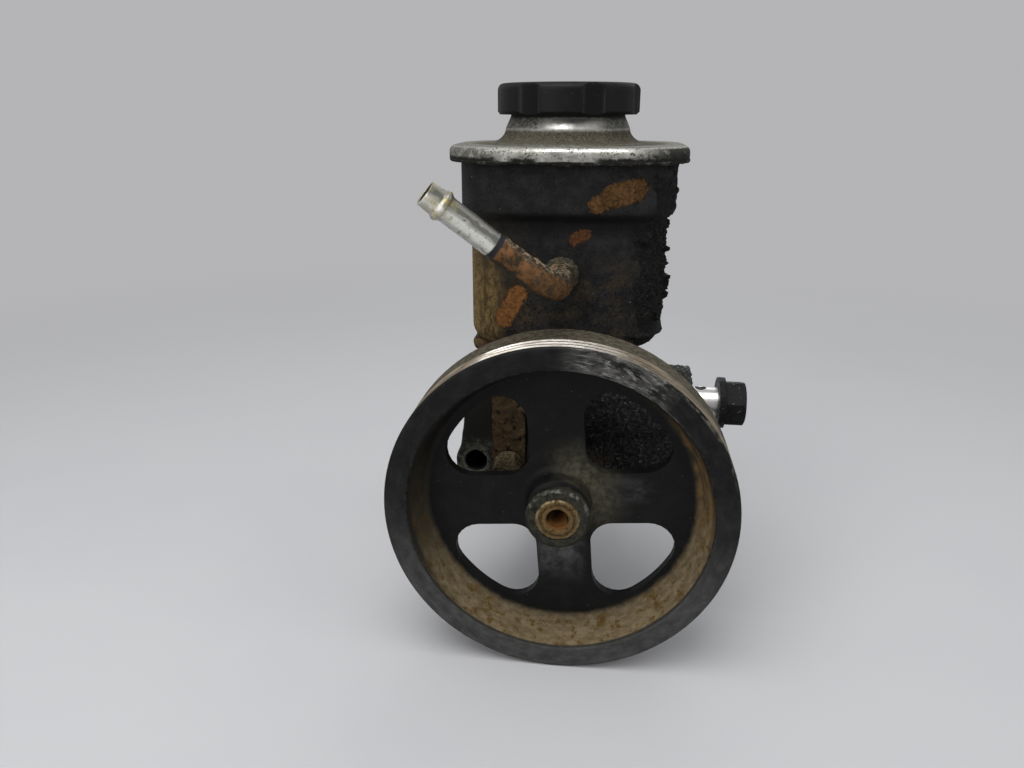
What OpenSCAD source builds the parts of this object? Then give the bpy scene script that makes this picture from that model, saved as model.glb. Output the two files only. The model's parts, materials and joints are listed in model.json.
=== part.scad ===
// Belt-driven vane pump for power steering, with a drawn sheet-steel reservoir on top.
// X runs to the right, Y along the drive shaft from the pulley to the rear cover, Z up.
// The origin lies on the shaft axis, in the plane of the pulley rim's front face.

/* [Pulley] */
// Outside diameter over the ribs
pulley_d = 150; // [144:1:156]
// Axial width of the rim
pulley_w = 28; // [26:0.5:31]
// Width of the flat ring on the rim's front face
rim_face_w = 10; // [8:0.5:12]
// Thickness of the rim behind the web
rim_back_t = 6; // [5:0.5:8]
// Depth of the web's front face behind the rim's front face
web_depth = 17.5; // [15:0.5:19]
// Thickness of the web
web_t = 4.5; // [3.5:0.5:5.5]
// Width of the four spokes
spoke_w = 24.2; // [22:0.2:28]
// Radius that the windows reach out to
window_r = 56; // [52:0.5:58]
// Radius of a window's corner at the hub
window_corner = 10; // [8:0.5:11]
// Radius of a window's two corners at the rim
window_rim_corner = 11.5; // [9:0.5:13]
// Diameter of the hub boss
hub_d = 27.5; // [26:0.5:30]
// Number of belt grooves
rib_count = 3; // [3:1:6]
// Pitch of the belt grooves
rib_pitch = 3.56; // [3.2:0.02:3.6]
// Depth of the belt grooves
rib_depth = 2.2; // [1.6:0.1:2.6]
// Angle at which the pulley was left standing
pulley_turn = 4.4; // [0:0.1:20]

/* [Drive shaft] */
// Diameter of the pulley seat
shaft_d = 19.05; // [18:0.05:20]
// Tapping diameter of the puller thread in the shaft end
thread_d = 8.5; // [7.5:0.1:9.5]
// Length of that thread
thread_l = 22; // [16:1:30]
// Outside diameter of the rotor spline
spline_d = 15; // [13.5:0.1:15.8]
// Number of spline teeth
spline_teeth = 10; // [8:1:14]
// Diameter of the rear journal
journal_d = 11.5; // [10:0.1:12]

/* [Bearing and shaft seal] */
// Bore of the ball bearing
bearing_id = 17; // [16.4:0.1:17.8]
// Outside diameter of the ball bearing
bearing_od = 40; // [38:0.5:42]
// Width of the ball bearing
bearing_w = 12; // [11:0.5:13]
// Diameter of the balls
ball_d = 6.75; // [6:0.05:7]
// Number of balls
ball_count = 8; // [7:1:9]
// Outside diameter of the shaft seal
seal_od = 28; // [27:0.5:29]
// Width of the shaft seal
seal_w = 7; // [6:0.5:8]

/* [Housing] */
// Diameter of the slim nose around the shaft seal
nose_d = 33; // [32:0.5:34]
// Length of the nose, up to the body's front face
nose_l = 25; // [23:0.5:28]
// Diameter of the main body
body_d = 76; // [75:0.5:79]
// Diameter of the bore that holds the vane cartridge
cavity_d = 63; // [62:0.5:64]
// Diameter of the suction gallery around the cam ring
gallery_d = 68; // [66:0.5:69]
// Diameter of the tower under the reservoir
tower_d = 34; // [32:0.5:36]

/* [Vane cartridge] */
// Width of the cam ring
cam_w = 16; // [14:0.5:18]
// Smallest radius of the cam's oval bore
cam_r = 22.4; // [21.5:0.1:23]
// Extra reach of the oval along its long axis
cam_lift = 2.4; // [1.5:0.1:2.8]
// Thickness of the front thrust plate
thrust_t = 4; // [3:0.5:6]
// Thickness of the rear pressure plate
plate_t = 8; // [7:0.5:10]
// Free height of the plate spring
spring_h = 3.8; // [3:0.1:5]
// Number of vanes
vane_count = 10; // [8:1:12]
// Thickness of a vane
vane_t = 1.8; // [1.4:0.1:2.2]
// Radial height of a vane
vane_h = 8; // [7:0.5:8.5]

/* [Rear cover] */
// Thickness of the cover's flange
cover_t = 7; // [6:0.5:9]
// Length of the spigot in the housing bore
spigot_l = 6; // [5.5:0.5:8]
// Thread diameter of the cover bolts
cover_bolt_d = 8; // [6:0.5:8]
// Thread length of the cover bolts in the housing
cover_bolt_l = 18; // [14:1:22]

/* [Mounting ears] */
// Distance of the left ear from the shaft axis
ear_x = 43.5; // [43.5:0.5:47]
// Distance of the right ear from the shaft axis
ear_right_x = 44; // [43:0.5:47]
// Drop of the right ear below the shaft axis
ear_right_drop = 13; // [10:0.5:16]
// Bore for the mounting bolts
ear_bore_d = 10.5; // [8.5:0.5:10.5]
// Outside diameter of the ears
ear_d = 20; // [18:0.5:22]
// Length of the ears
ear_l = 20; // [16:1:24]

/* [Flow valve and outlet] */
// Height of the valve bore above the shaft axis
valve_z = 34.4; // [34:0.1:36]
// Setback of the valve bore behind the body's front face
valve_set = 4; // [3.5:0.1:5.5]
// Diameter of the valve bore
valve_d = 16; // [15:0.1:16.4]
// Outside diameter of the valve boss
valve_boss_d = 32; // [30:0.5:34]
// Reach of the outlet face from the shaft axis
outlet_x = 55.7; // [53:0.1:58]
// Thread diameter of the outlet bolt
outlet_bolt_d = 14; // [12:0.1:14.4]
// Gap left on the outlet bolt for the hose's eye
hose_eye_w = 13; // [11:0.5:16]
// Width across the flats of the outlet bolt
outlet_bolt_af = 19; // [17:0.5:22]
// Travel of the valve spool
spool_travel = 6; // [4:0.5:7]

/* [Reservoir] */
// Position of the reservoir's centre across the pump
res_x = -2.8; // [-4:0.1:-2]
// Position of the reservoir's centre along the shaft
res_y = 76; // [74:0.5:79]
// Height of the reservoir's floor above the shaft axis
res_z = 59.5; // [58:0.5:62]
// Half length of the straight front wall
res_hx = 22; // [20:0.5:24]
// Half length of the straight side walls
res_hy = 10; // [9:0.5:14]
// Corner radius of the lower part
lower_r = 21; // [20:0.5:22]
// Corner radius of the upper part
upper_r = 25.2; // [24.6:0.1:26.4]
// Height of the lower part
lower_h = 56.5; // [54:0.5:60]
// Height of the shoulder between lower and upper part
step_h = 5; // [4:0.5:7]
// Height of the upper part
upper_h = 25.3; // [22:0.1:30]
// Thickness of the sheet
sheet_t = 1.2; // [1:0.1:1.6]
// Outside diameter of the outlet spigot in the floor
spigot_d = 22; // [20:0.5:22.5]

/* [Lid and filler neck] */
// Overhang of the rolled lid rim beyond the upper part
lid_over = 5; // [4.6:0.1:5.6]
// Height of the rolled lid rim
lid_h = 6.5; // [6:0.1:9]
// Position of the filler neck across the pump
neck_x = -3.9; // [-6:0.1:-2]
// Diameter where the neck's flare starts
flare_d = 74; // [70:0.5:74]
// Diameter of the bead on the neck
bead_d = 55; // [54:0.5:57]
// Height of that bead above the lid
bead_h = 6.5; // [5:0.1:7]
// Diameter of the filler neck
neck_d = 50.4; // [48:0.2:51]
// Height of the filler neck above the lid
neck_h = 19; // [18:0.5:21]

/* [Filler cap] */
// Diameter of the cap
cap_d = 62.6; // [60:0.2:65]
// Height of the cap
cap_h = 12.8; // [11:0.1:13.5]
// Number of grip grooves
cap_grooves = 7; // [6:1:10]
// Thickness of the cap's sealing ring
gasket_t = 2; // [1.5:0.1:2.5]
// Length of the dipstick below the cap
dipstick_l = 70; // [60:1:85]

/* [Return tube] */
// Outside diameter of the tube
tube_d = 10.2; // [9.6:0.1:10.6]
// Position of the tube's root across the pump
tube_x = -3.5; // [-6:0.5:0]
// Height of the tube's root above the reservoir floor
tube_rise = 34.8; // [32:0.1:38]
// Straight length from the reservoir wall to the bend
tube_stub = 20; // [16:0.5:24]
// Bend radius
tube_bend_r = 18; // [15:0.5:21]
// Bend angle
tube_bend = 75; // [72:1:84]
// Climb of the bent leg
tube_climb = 39.6; // [34:0.1:44]
// Length of the straight leg
tube_leg = 49.6; // [42:0.2:54]
// Diameter of the hose bead
tube_bead_d = 12.2; // [11.4:0.1:13]

/* [Reservoir bracket] */
// Position of the strap across the pump
strap_x = -27; // [-28:0.1:-26.6]
// Width of the strap
strap_w = 16; // [15:0.5:17]
// Thickness of the strap and its shelf
strap_t = 3; // [2.5:0.1:3.4]
// Spacing of the two strap bolts
strap_bolt_pitch = 17; // [15:0.5:18]
// Thread diameter of the strap bolts
strap_bolt_d = 8; // [6:0.5:8]

/* [Hidden] */
$fn = 72;
arc_steps = 8;
cut = 1;

// clearances: turning and sliding fits, fits within the fixed body, side gaps, free passages
run_gap = 0.04;
loose_gap = 0.2;
side_gap = 0.05;
free_gap = 0.4;

// pulley
pulley_r = pulley_d / 2;
rim_inner_r = pulley_r - rim_face_w;
rim_draft = 3.5;
rim_draft_angle = 10;
rim_fillet = 3;
edge_r = 1.2;
web_back = web_depth + web_t;
hub_front = -1;
hub_r = hub_d / 2;
hub_lip_w = 4;
hub_groove_w = 5;
hub_groove_depth = 2;
hub_fillet = 4;
hub_rear_r = 16;
hub_back = web_back + 3;
rib_start = 0.9;
rib_root = 0.5;
rib_taper = 0.85;

// drive shaft, from its tapped end to the rear journal
shaft_r = shaft_d / 2;
thread_r = thread_d / 2;
thread_mouth = 1.5;
mouth_r = thread_r + 1;
shaft_end = -thread_mouth;
shaft_chamfer = 1;
drill_tip = 2.5;
spline_h = 1.2;
spline_w = 2;
journal_r = journal_d / 2;

// stations along the shaft
nose_front = hub_back + 2;
seal_front = nose_front + 1;
face_y = nose_front + nose_l;
bearing_front = face_y;
bearing_back = bearing_front + bearing_w;
snap_t = 1.2;
snap_back = bearing_back + snap_t;
cavity_front = snap_back + 2;
cam_front = cavity_front + thrust_t;
cam_back = cam_front + cam_w;
plate_back = cam_back + plate_t;
spigot_front = plate_back + spring_h;
body_back = spigot_front + spigot_l;
cover_back = body_back + cover_t;
seat_end = cavity_front + thrust_t - 1;
journal_l = 12;

// shaft seal
seal_r = seal_od / 2;
seal_wall = 1.5;
seal_floor = 1.8;
lip_t = 1;
lip_back = seal_w - 1.2;

// housing
nose_r = nose_d / 2;
body_r = body_d / 2;
cavity_r = cavity_d / 2;
gallery_r = gallery_d / 2;
gallery_w = cam_w - 6;
nose_flare = 1.5;
snap_depth = 1.3;
lug_r = 8;
lug_reach = body_r + 3;
lug_l = cover_bolt_l + 6;
lug_web = 2 * lug_r - 3;
lug_angles = [45:90:315];
thread_run_out = 2;
tower_r = tower_d / 2;
inlet_y = cam_front + cam_w / 2;
inlet_r = 8;
spigot_r = spigot_d / 2;
spigot_drop = 10;
o_ring_r = 1.5;
o_ring_seat = spigot_r + 2 * o_ring_r;

// bearing
bearing_r = bearing_od / 2;
bore_r = bearing_id / 2;
pitch_r = (bearing_r + bore_r) / 2;
ball_r = ball_d / 2;
ring_land = 1.65;
cage_t = 1.6;
cage_w = ball_d + 1.8;
ball_gap = 0.07;

// vane cartridge
plate_r = cavity_r - side_gap;
rotor_r = cam_r - 0.5;
rotor_w = cam_w - 2 * side_gap;
vane_tip = cam_r - 0.15;
dowel_r = 2;
dowel_in = 3;
dowel_reach = (cam_r + plate_r) / 2;
port_r = 18;
port_w = 4;
port_angle = 50;
spring_clear = 4;
spring_w = 10;
spring_in_r = journal_r + spring_clear;
spring_out_r = spring_in_r + spring_w;

// rear cover
seal_groove_y = 1.4;
seal_groove_w = 2.2 * o_ring_r;
seal_groove_r = plate_r - 2 * o_ring_r;
dome_h = 5;
dome_wall = 8;
dome_slope = 6;
dome_top_r = journal_r + dome_wall;
dome_foot_r = dome_top_r + dome_slope;
cover_flange_t = 1.5;
cover_hex_af = cover_bolt_d * 1.4;
cover_hex_h = 5;

// flow valve and outlet
valve_y = face_y + valve_set;
valve_r = valve_d / 2;
boss_r = valve_boss_d / 2;
boss_left = -12;
boss_neck_w = 1.2 * boss_r;
boss_neck_l = 33;
passage_r = 2;
passage_x = 8;
passage_z = cavity_r - 4;
valve_end = -6;
union_l = 12;
union_r = valve_r + 1.5;
union_in = outlet_x - union_l;
bolt_r = outlet_bolt_d / 2;
bolt_in = outlet_x - union_l + 1;
flange_x = outlet_x + hose_eye_w;
flange_t = 3;
flange_r = outlet_bolt_af / 2 + 2.2;
hex_h = 9;
hex_turn = 15;
hex_chamfer_r = outlet_bolt_af / 2;
bolt_bore_r = bolt_r / 2;
bolt_bore_end = outlet_x + 0.7 * hose_eye_w;
cross_r = 0.36 * bolt_r;
cross_x = outlet_x + 0.4 * hose_eye_w;
spool_l = 24;
spool_right = union_in - loose_gap;
spool_left = spool_right - spool_l;
land_l = 0.2 * spool_l;
land_places = [0, 0.4 * spool_l, 0.75 * spool_l];
waist_r = valve_r - 2.2;
spool_bore_r = valve_r - 5;
spool_bore_l = 0.6 * spool_l;
orifice_r = valve_r - 6.5;
spring_wire = 0.9;
spring_turns = 7;
spring_reach = valve_r - 2.4;

// mounting ears
ear_r = ear_d / 2;
lug_top = [-40, -26];
ear_web = ear_d - 2;
lug_top_r = 9.5;
lug_top_web = 2 * lug_top_r - 2;
flank_right = ear_right_x + ear_web / 2;
flank_top = valve_z - boss_r / 2;

// reservoir, lid and cap, stacked up from the reservoir floor
floor_fillet = 8;
step_z = res_z + lower_h;
shoulder_z = step_z + step_h;
res_top = shoulder_z + upper_h;
lid_edge_r = 3;
seam_w = lid_over - lid_edge_r;
lid_top = res_top + sheet_t;
lid_bottom = lid_top - lid_h;
lid_r = upper_r + lid_over;
flare_r = flare_d / 2;
bead_r = bead_d / 2;
neck_r = neck_d / 2;
neck_taper = 5;
neck_foot = lid_top + bead_h + neck_taper;
neck_top = lid_top + neck_h;
cap_r = cap_d / 2;
cap_roof = 4;
cap_ceiling = neck_top + gasket_t;
cap_top = cap_ceiling + cap_roof;
cap_bottom = cap_top - cap_h;
cap_edge_r = 3;
cap_gap = 0.4;
cap_dish = 1;
groove_r = 16;
groove_depth = 1.5;
groove_start = 0.706;
gasket_w = 5;
dip_boss_r = 6;
dip_boss_h = 4;
dip_w = 6;
dip_t = 2;

// return tube
tube_r = tube_d / 2;
tube_wall = 1;
bend_thinning = 0.1;
stub_r = tube_r - bend_thinning;
tube_z = res_z + tube_rise;
res_front = res_y - res_hy - lower_r;
tube_inside = 4;
tube_tip = 6.2;
bead_w = 3;
collar_r = stub_r + 3;
collar_l = 4;

// bracket
strap_left = strap_x - strap_w / 2;
strap_bolt_z = 0.5;
strap_bottom = strap_bolt_z - strap_bolt_pitch - 9;
strap_front = face_y - strap_t;
shelf_z = res_z - strap_t;
shelf_inset = 2.3;
shelf_left = res_x - res_hx - lower_r + shelf_inset;
shelf_right = res_x - tower_r - 2;
shelf_l = 34;
shelf_front = strap_front + 2 * strap_t;
shelf_corner = 6;
strap_flange_r = 7.3;
strap_flange_t = 2;
strap_hex_af = 12;
strap_hex_h = 4;
strap_thread_l = 12;

// points of an arc about c, from angle a0 to a1
function arc(c, r, a0, a1) = [for (i = [0:arc_steps])
    let (a = a0 + (a1 - a0) * i / arc_steps) [c[0] + r * cos(a), c[1] + r * sin(a)]];

// lays a shape that is drawn along Z down along the shaft, starting at y
module along_y(y = 0) translate([0, y, 0]) rotate([-90, 0, 0]) children();

// a cylinder along the shaft direction, at x and z
module rod_y(r, y0, y1, x = 0, z = 0) translate([x, y0, z]) rotate([-90, 0, 0])
    cylinder(r = r, h = y1 - y0);

// a cylinder along X on the axis of the flow valve
module rod_x(r, x0, x1) translate([x0, valve_y, valve_z]) rotate([0, 90, 0])
    cylinder(r = r, h = x1 - x0);

// sweeps a section (x outward, y up) round a rectangle of half sizes hx and hy with round corners
module round_sweep(hx, hy) for (k = [0:3]) {
    a = k % 2 == 0 ? hx : hy;
    b = k % 2 == 0 ? hy : hx;
    rotate(90 * k) translate([a, b, 0]) {
        rotate_extrude(angle = 90) children();
        rotate([90, 0, 0]) linear_extrude(2 * b) children();
    }
}

// the same sweep with its middle filled from z0 to z1
module round_block(hx, hy, z0, z1) {
    round_sweep(hx, hy) children();
    translate([-hx, -hy, z0]) cube([2 * hx, 2 * hy, z1 - z0]);
}

// pulley: one turned section with belt grooves, a dished web and a hub with a puller groove
function rib_groove(i) = let (
    y0 = rib_start + i * rib_pitch + rib_root,
    y1 = y0 + rib_pitch - 2 * rib_root,
    flank = rib_taper * (y1 - y0) / 2) [
    [pulley_r, y0],
    [pulley_r - rib_depth, y0 + flank],
    [pulley_r - rib_depth, y1 - flank],
    [pulley_r, y1]];

module pulley_section() {
    neck = hub_r - hub_groove_depth;
    groove = hub_front + hub_lip_w;
    web_r = rim_inner_r - rim_draft;
    back_r = pulley_r - rim_back_t;
    polygon(concat(
        [[shaft_r, hub_front], [hub_r - edge_r, hub_front], [hub_r, hub_front + edge_r],
            [hub_r, groove], [neck, groove + 1], [neck, groove + hub_groove_w - 1],
            [hub_r, groove + hub_groove_w]],
        arc([hub_r + hub_fillet, web_depth - hub_fillet], hub_fillet, 180, 90),
        arc([web_r - rim_fillet, web_depth - rim_fillet], rim_fillet, 90, rim_draft_angle),
        arc([rim_inner_r + edge_r, edge_r], edge_r, 180 + rim_draft_angle, 270),
        arc([pulley_r - edge_r, edge_r], edge_r, -90, 0),
        [for (i = [0:rib_count - 1]) each rib_groove(i)],
        arc([pulley_r - edge_r, pulley_w - edge_r], edge_r, 0, 90),
        [[back_r, pulley_w]],
        arc([back_r - rim_fillet, web_back + rim_fillet], rim_fillet, 0, -90),
        [[hub_rear_r, web_back], [hub_rear_r, hub_back], [shaft_r, hub_back]]));
}

// a window's outline: a corner at the hub, two at the rim and an arc round the shaft between them
module window() {
    near = spoke_w / 2 + window_corner;
    edge = spoke_w / 2 + window_rim_corner;
    far = sqrt(pow(window_r - window_rim_corner, 2) - edge * edge);
    turn = atan2(edge, far);
    rim = arc([0, 0], window_r, turn, 90 - turn);
    polygon(concat(
        arc([near, near], window_corner, 180, 270),
        arc([far, edge], window_rim_corner, -90, turn),
        [for (i = [1:arc_steps - 1]) rim[i]],
        arc([edge, far], window_rim_corner, 90 - turn, 180)));
}

module pulley() color("#2a2a2b") along_y() difference() {
    rotate_extrude() pulley_section();
    for (k = [0:3]) rotate(90 * k - pulley_turn) translate([0, 0, web_depth - cut])
        linear_extrude(web_t + 2 * cut) window();
}

// drive shaft: pulley seat, bearing seat, rotor spline and rear journal
module spline(gap = 0) {
    circle(spline_d / 2 - spline_h + gap);
    for (k = [0:spline_teeth - 1]) rotate(360 * k / spline_teeth)
        translate([0, -spline_w / 2 - gap]) square([spline_d / 2 + gap, spline_w + 2 * gap]);
}

module drive_shaft() color("#8a6f52") along_y() {
    rotate_extrude() polygon([[0, thread_l + drill_tip], [thread_r, thread_l], [thread_r, 0],
        [mouth_r, shaft_end], [shaft_r - shaft_chamfer, shaft_end],
        [shaft_r, shaft_end + shaft_chamfer], [shaft_r, bearing_front], [bore_r, bearing_front],
        [bore_r, seat_end], [0, seat_end]]);
    translate([0, 0, seat_end]) linear_extrude(cam_back - seat_end) spline();
    translate([0, 0, cam_back]) cylinder(r = journal_r, h = spigot_front + journal_l - cam_back - cut);
}

// shaft seal: steel case with a rubber lip that runs on the shaft
module shaft_seal() color("#3b2a22") along_y(seal_front) rotate_extrude() polygon([
    [seal_r, 0], [seal_r, seal_w], [seal_r - seal_wall, seal_w], [seal_r - seal_wall, seal_floor],
    [shaft_r + 2 * lip_t, seal_floor], [shaft_r + 1.5 * lip_t, lip_back - lip_t],
    [shaft_r + lip_t, lip_back], [shaft_r + run_gap, lip_back - lip_t],
    [shaft_r + lip_t, lip_t], [shaft_r + lip_t, 0]]);

// deep-groove ball bearing: two rings, a ring of balls and their cage
module bearing_ring(r0, r1) along_y(bearing_front) rotate_extrude() difference() {
    translate([r0, 0]) square([r1 - r0, bearing_w]);
    translate([pitch_r, bearing_w / 2]) circle(ball_r + ball_gap);
}

module ball_places() along_y(bearing_front + bearing_w / 2)
    for (k = [0:ball_count - 1]) rotate(360 * k / ball_count) translate([pitch_r, 0, 0]) children();

module bearing_outer_ring() color("#9a9c9f") bearing_ring(pitch_r + ring_land, bearing_r);

module bearing_inner_ring() color("#9a9c9f") bearing_ring(bore_r, pitch_r - ring_land);

module bearing_balls() color("#c9ccd0") ball_places() sphere(ball_r);

module bearing_cage() color("#b59a5a") difference() {
    along_y(bearing_front + (bearing_w - cage_w) / 2) difference() {
        cylinder(r = pitch_r + cage_t / 2, h = cage_w);
        translate([0, 0, -cut]) cylinder(r = pitch_r - cage_t / 2, h = cage_w + 2 * cut);
    }
    ball_places() rotate([0, 90, 0]) cylinder(r = ball_r + ball_gap, h = 3 * cage_t, center = true);
}

// open spring ring that holds the bearing in the housing
module bearing_snap_ring() color("#4a4b4d") along_y(bearing_back) rotate(10) rotate_extrude(angle = 320)
    translate([bearing_r - 2, 0]) square([2 + snap_depth - loose_gap, snap_t]);

// housing: cast nose and body, valve boss, inlet tower, mounting ears and bolt lugs
module cover_lugs() for (a = lug_angles) translate(lug_reach * [cos(a), sin(a), 0]) children();

// outline of a straight web of width w from p to q
function web(p, q, w) = let (n = [p[1] - q[1], q[0] - p[0]] * w / 2 / norm(q - p))
    [p - n, q - n, q + n, p + n];

module lug_plan() {
    cover_lugs() circle(lug_r);
    for (a = lug_angles) polygon(web([0, 0], lug_reach * [cos(a), sin(a)], lug_web));
}

module housing_casting() {
    along_y() rotate_extrude() polygon([[0, nose_front], [nose_r - edge_r, nose_front],
        [nose_r, nose_front + edge_r], [nose_r, face_y - nose_flare], [nose_r + nose_flare, face_y],
        [body_r - 2 * edge_r, face_y], [body_r, face_y + 2 * edge_r], [body_r, body_back], [0, body_back]]);
    along_y(body_back - lug_l) linear_extrude(lug_l) lug_plan();
    rod_x(boss_r, boss_left, outlet_x);
    translate([boss_left, valve_y - boss_neck_w / 2, 0]) cube([boss_neck_l, boss_neck_w, valve_z]);
    translate([res_x, inlet_y, 0]) cylinder(r = tower_r, h = res_z);
    along_y(face_y) linear_extrude(ear_l) {
        left_ear_plan();
        right_ear_plan();
    }
}

// both ears as seen from the rear, with y pointing down
module left_ear_plan() {
    ear = [-ear_x, 0];
    translate(ear) circle(ear_r);
    translate(lug_top) circle(lug_top_r);
    polygon(web(ear, lug_top, lug_top_web));
    polygon(web(ear, [0, 0], ear_web));
    polygon([[lug_top[0], 0], [0, 0], lug_top]);
}

module right_ear_plan() {
    ear = [ear_right_x, ear_right_drop];
    translate(ear) circle(ear_r);
    polygon(web(ear, [0, ear_right_drop], ear_web));
    polygon([[0, ear_right_drop], [flank_right, ear_right_drop],
        [flank_right, -flank_top], [0, -flank_top]]);
}

module shaft_bores() along_y() rotate_extrude() polygon([
    [0, nose_front - cut], [seal_r, nose_front - cut],
    [seal_r, seal_front + seal_w], [shaft_r + free_gap, seal_front + seal_w],
    [shaft_r + free_gap, bearing_front], [bearing_r, bearing_front], [bearing_r, bearing_back],
    [bearing_r + snap_depth, bearing_back], [bearing_r + snap_depth, snap_back], [bearing_r, snap_back],
    [bearing_r, cavity_front], [cavity_r, cavity_front], [cavity_r, inlet_y - gallery_w / 2],
    [gallery_r, inlet_y - gallery_w / 2], [gallery_r, inlet_y + gallery_w / 2],
    [cavity_r, inlet_y + gallery_w / 2], [cavity_r, body_back + cut], [0, body_back + cut]]);

module pump_housing() color("#1f1e1c") difference() {
    housing_casting();
    shaft_bores();
    along_y(body_back - cover_bolt_l - thread_run_out) cover_lugs()
        cylinder(r = cover_bolt_d / 2, h = cover_bolt_l + thread_run_out + cut);
    for (s = [-1, 1]) rod_y(dowel_r, cavity_front - dowel_in, cavity_front + cut, 0, s * dowel_reach);
    rod_x(valve_r, valve_end, outlet_x + cut);
    rod_x(union_r, union_in, outlet_x + cut);
    rod_y(passage_r, valve_y, cavity_front + cut, passage_x, passage_z);
    translate([res_x, inlet_y, 0]) {
        translate([0, 0, gallery_r - inlet_r]) cylinder(r = inlet_r, h = res_z);
        translate([0, 0, res_z - spigot_drop - cut]) cylinder(r = spigot_r + loose_gap, h = res_z);
        translate([0, 0, res_z - 2 * o_ring_r]) cylinder(r = o_ring_seat, h = 2 * o_ring_r + cut);
    }
    rod_y(ear_bore_d / 2, face_y - cut, face_y + ear_l + cut, -ear_x);
    rod_y(ear_bore_d / 2, face_y - cut, face_y + ear_l + cut, ear_right_x, -ear_right_drop);
    strap_bolt_places() rod_y(strap_bolt_d / 2, face_y - cut, face_y + strap_thread_l + cut);
}

// vane cartridge: thrust plate, oval cam ring, slotted rotor, vanes and ported pressure plate
module dowel_holes() for (s = [-1, 1]) translate([0, s * dowel_reach]) circle(dowel_r);

module thrust_plate() color("#7c7e80") along_y(cavity_front) linear_extrude(thrust_t) difference() {
    circle(plate_r);
    circle(bore_r + free_gap);
    dowel_holes();
    translate([passage_x, -passage_z]) circle(passage_r);
}

module cam_oval() {
    square([2 * cam_lift, 2 * cam_r], center = true);
    for (s = [-1, 1]) translate([s * cam_lift, 0]) circle(cam_r);
}

module cam_ring() color("#8d8f91") along_y(cam_front) linear_extrude(cam_w) difference() {
    circle(plate_r);
    cam_oval();
    dowel_holes();
}

module rotor() color("#77797b") along_y(cam_front + side_gap) linear_extrude(rotor_w) difference() {
    circle(rotor_r);
    spline(side_gap);
    for (k = [0:vane_count - 1]) rotate(360 * (k + 0.5) / vane_count) {
        translate([vane_tip - vane_h - side_gap, -vane_t / 2 - side_gap])
            square([vane_h + cut, vane_t + 2 * side_gap]);
        translate([vane_tip - vane_h, 0]) circle(vane_t * 0.75);
    }
}

module vanes() color("#a5a7a9") along_y(cam_front + side_gap) linear_extrude(rotor_w)
    for (k = [0:vane_count - 1]) rotate(360 * (k + 0.5) / vane_count) {
        translate([vane_tip - vane_h, -vane_t / 2]) square([vane_h - vane_t / 2, vane_t]);
        translate([vane_tip - vane_t / 2, 0]) circle(vane_t / 2);
    }

module dowel_pins() color("#b8babc") for (s = [-1, 1])
    rod_y(dowel_r, cavity_front - dowel_in, plate_back - cut, 0, s * dowel_reach);

module pressure_plate() color("#808284") along_y(cam_back) difference() {
    linear_extrude(plate_t) difference() {
        circle(plate_r);
        circle(journal_r + free_gap);
        dowel_holes();
    }
    for (k = [0:1]) rotate(45 - port_angle / 2 + 180 * k) translate([0, 0, -cut])
        rotate_extrude(angle = port_angle) translate([port_r, 0]) square([port_w, plate_t + 2 * cut]);
}

// dished spring washer that presses the plate against the cam ring
module plate_spring() color("#6b6d70") along_y(plate_back) rotate_extrude() polygon([
    [spring_in_r, 0], [spring_out_r, spring_h - sheet_t],
    [spring_out_r, spring_h], [spring_in_r, sheet_t]]);

// rear cover: flange with bolt lugs, spigot with a seal groove and a blind bore for the journal
module rear_cover() color("#3a3a39") along_y(spigot_front) difference() {
    union() {
        rotate_extrude() polygon([[0, 0], [plate_r, 0],
            [plate_r, seal_groove_y], [seal_groove_r, seal_groove_y],
            [seal_groove_r, seal_groove_y + seal_groove_w], [plate_r, seal_groove_y + seal_groove_w],
            [plate_r, spigot_l], [body_r, spigot_l], [body_r, spigot_l + cover_t - edge_r],
            [body_r - edge_r, spigot_l + cover_t], [dome_foot_r, spigot_l + cover_t],
            [dome_top_r, spigot_l + cover_t + dome_h], [0, spigot_l + cover_t + dome_h]]);
        translate([0, 0, spigot_l]) linear_extrude(cover_t) lug_plan();
    }
    translate([0, 0, -cut]) cylinder(r = journal_r + run_gap, h = journal_l + cut);
    translate([0, 0, spigot_l - cut]) cover_lugs()
        cylinder(r = cover_bolt_d / 2 + loose_gap, h = cover_t + 2 * cut);
}

module cover_o_ring() color("#151515") along_y(spigot_front + seal_groove_y + seal_groove_w / 2)
    rotate_extrude()
    translate([cavity_r - o_ring_r, 0]) circle(o_ring_r - side_gap);

// hexagon bolt with a flange, its seat at the origin and its thread along -Z
module flange_bolt(d, l, rim_r, rim_t, af, head_h) {
    translate([0, 0, -l]) cylinder(d = d, h = l);
    cylinder(r1 = rim_r, r2 = rim_r - rim_t / 2, h = rim_t);
    cylinder(d = af / cos(30), h = rim_t + head_h, $fn = 6);
}

module cover_bolts() color("#5b5a56") along_y(cover_back) cover_lugs()
    flange_bolt(cover_bolt_d, cover_t + cover_bolt_l,
        cover_bolt_d, cover_flange_t, cover_hex_af, cover_hex_h);

// flow control valve: spool and spring in the housing bore, closed by the threaded union
module valve_spool() color("#b0b2b4") difference() {
    union() {
        rod_x(waist_r, spool_left, spool_right);
        for (x = land_places) rod_x(valve_r - run_gap, spool_left + x, spool_left + x + land_l);
    }
    rod_x(spool_bore_r, spool_left - cut, spool_left + spool_bore_l);
    rod_x(orifice_r, spool_left, spool_right + cut);
}

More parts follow.
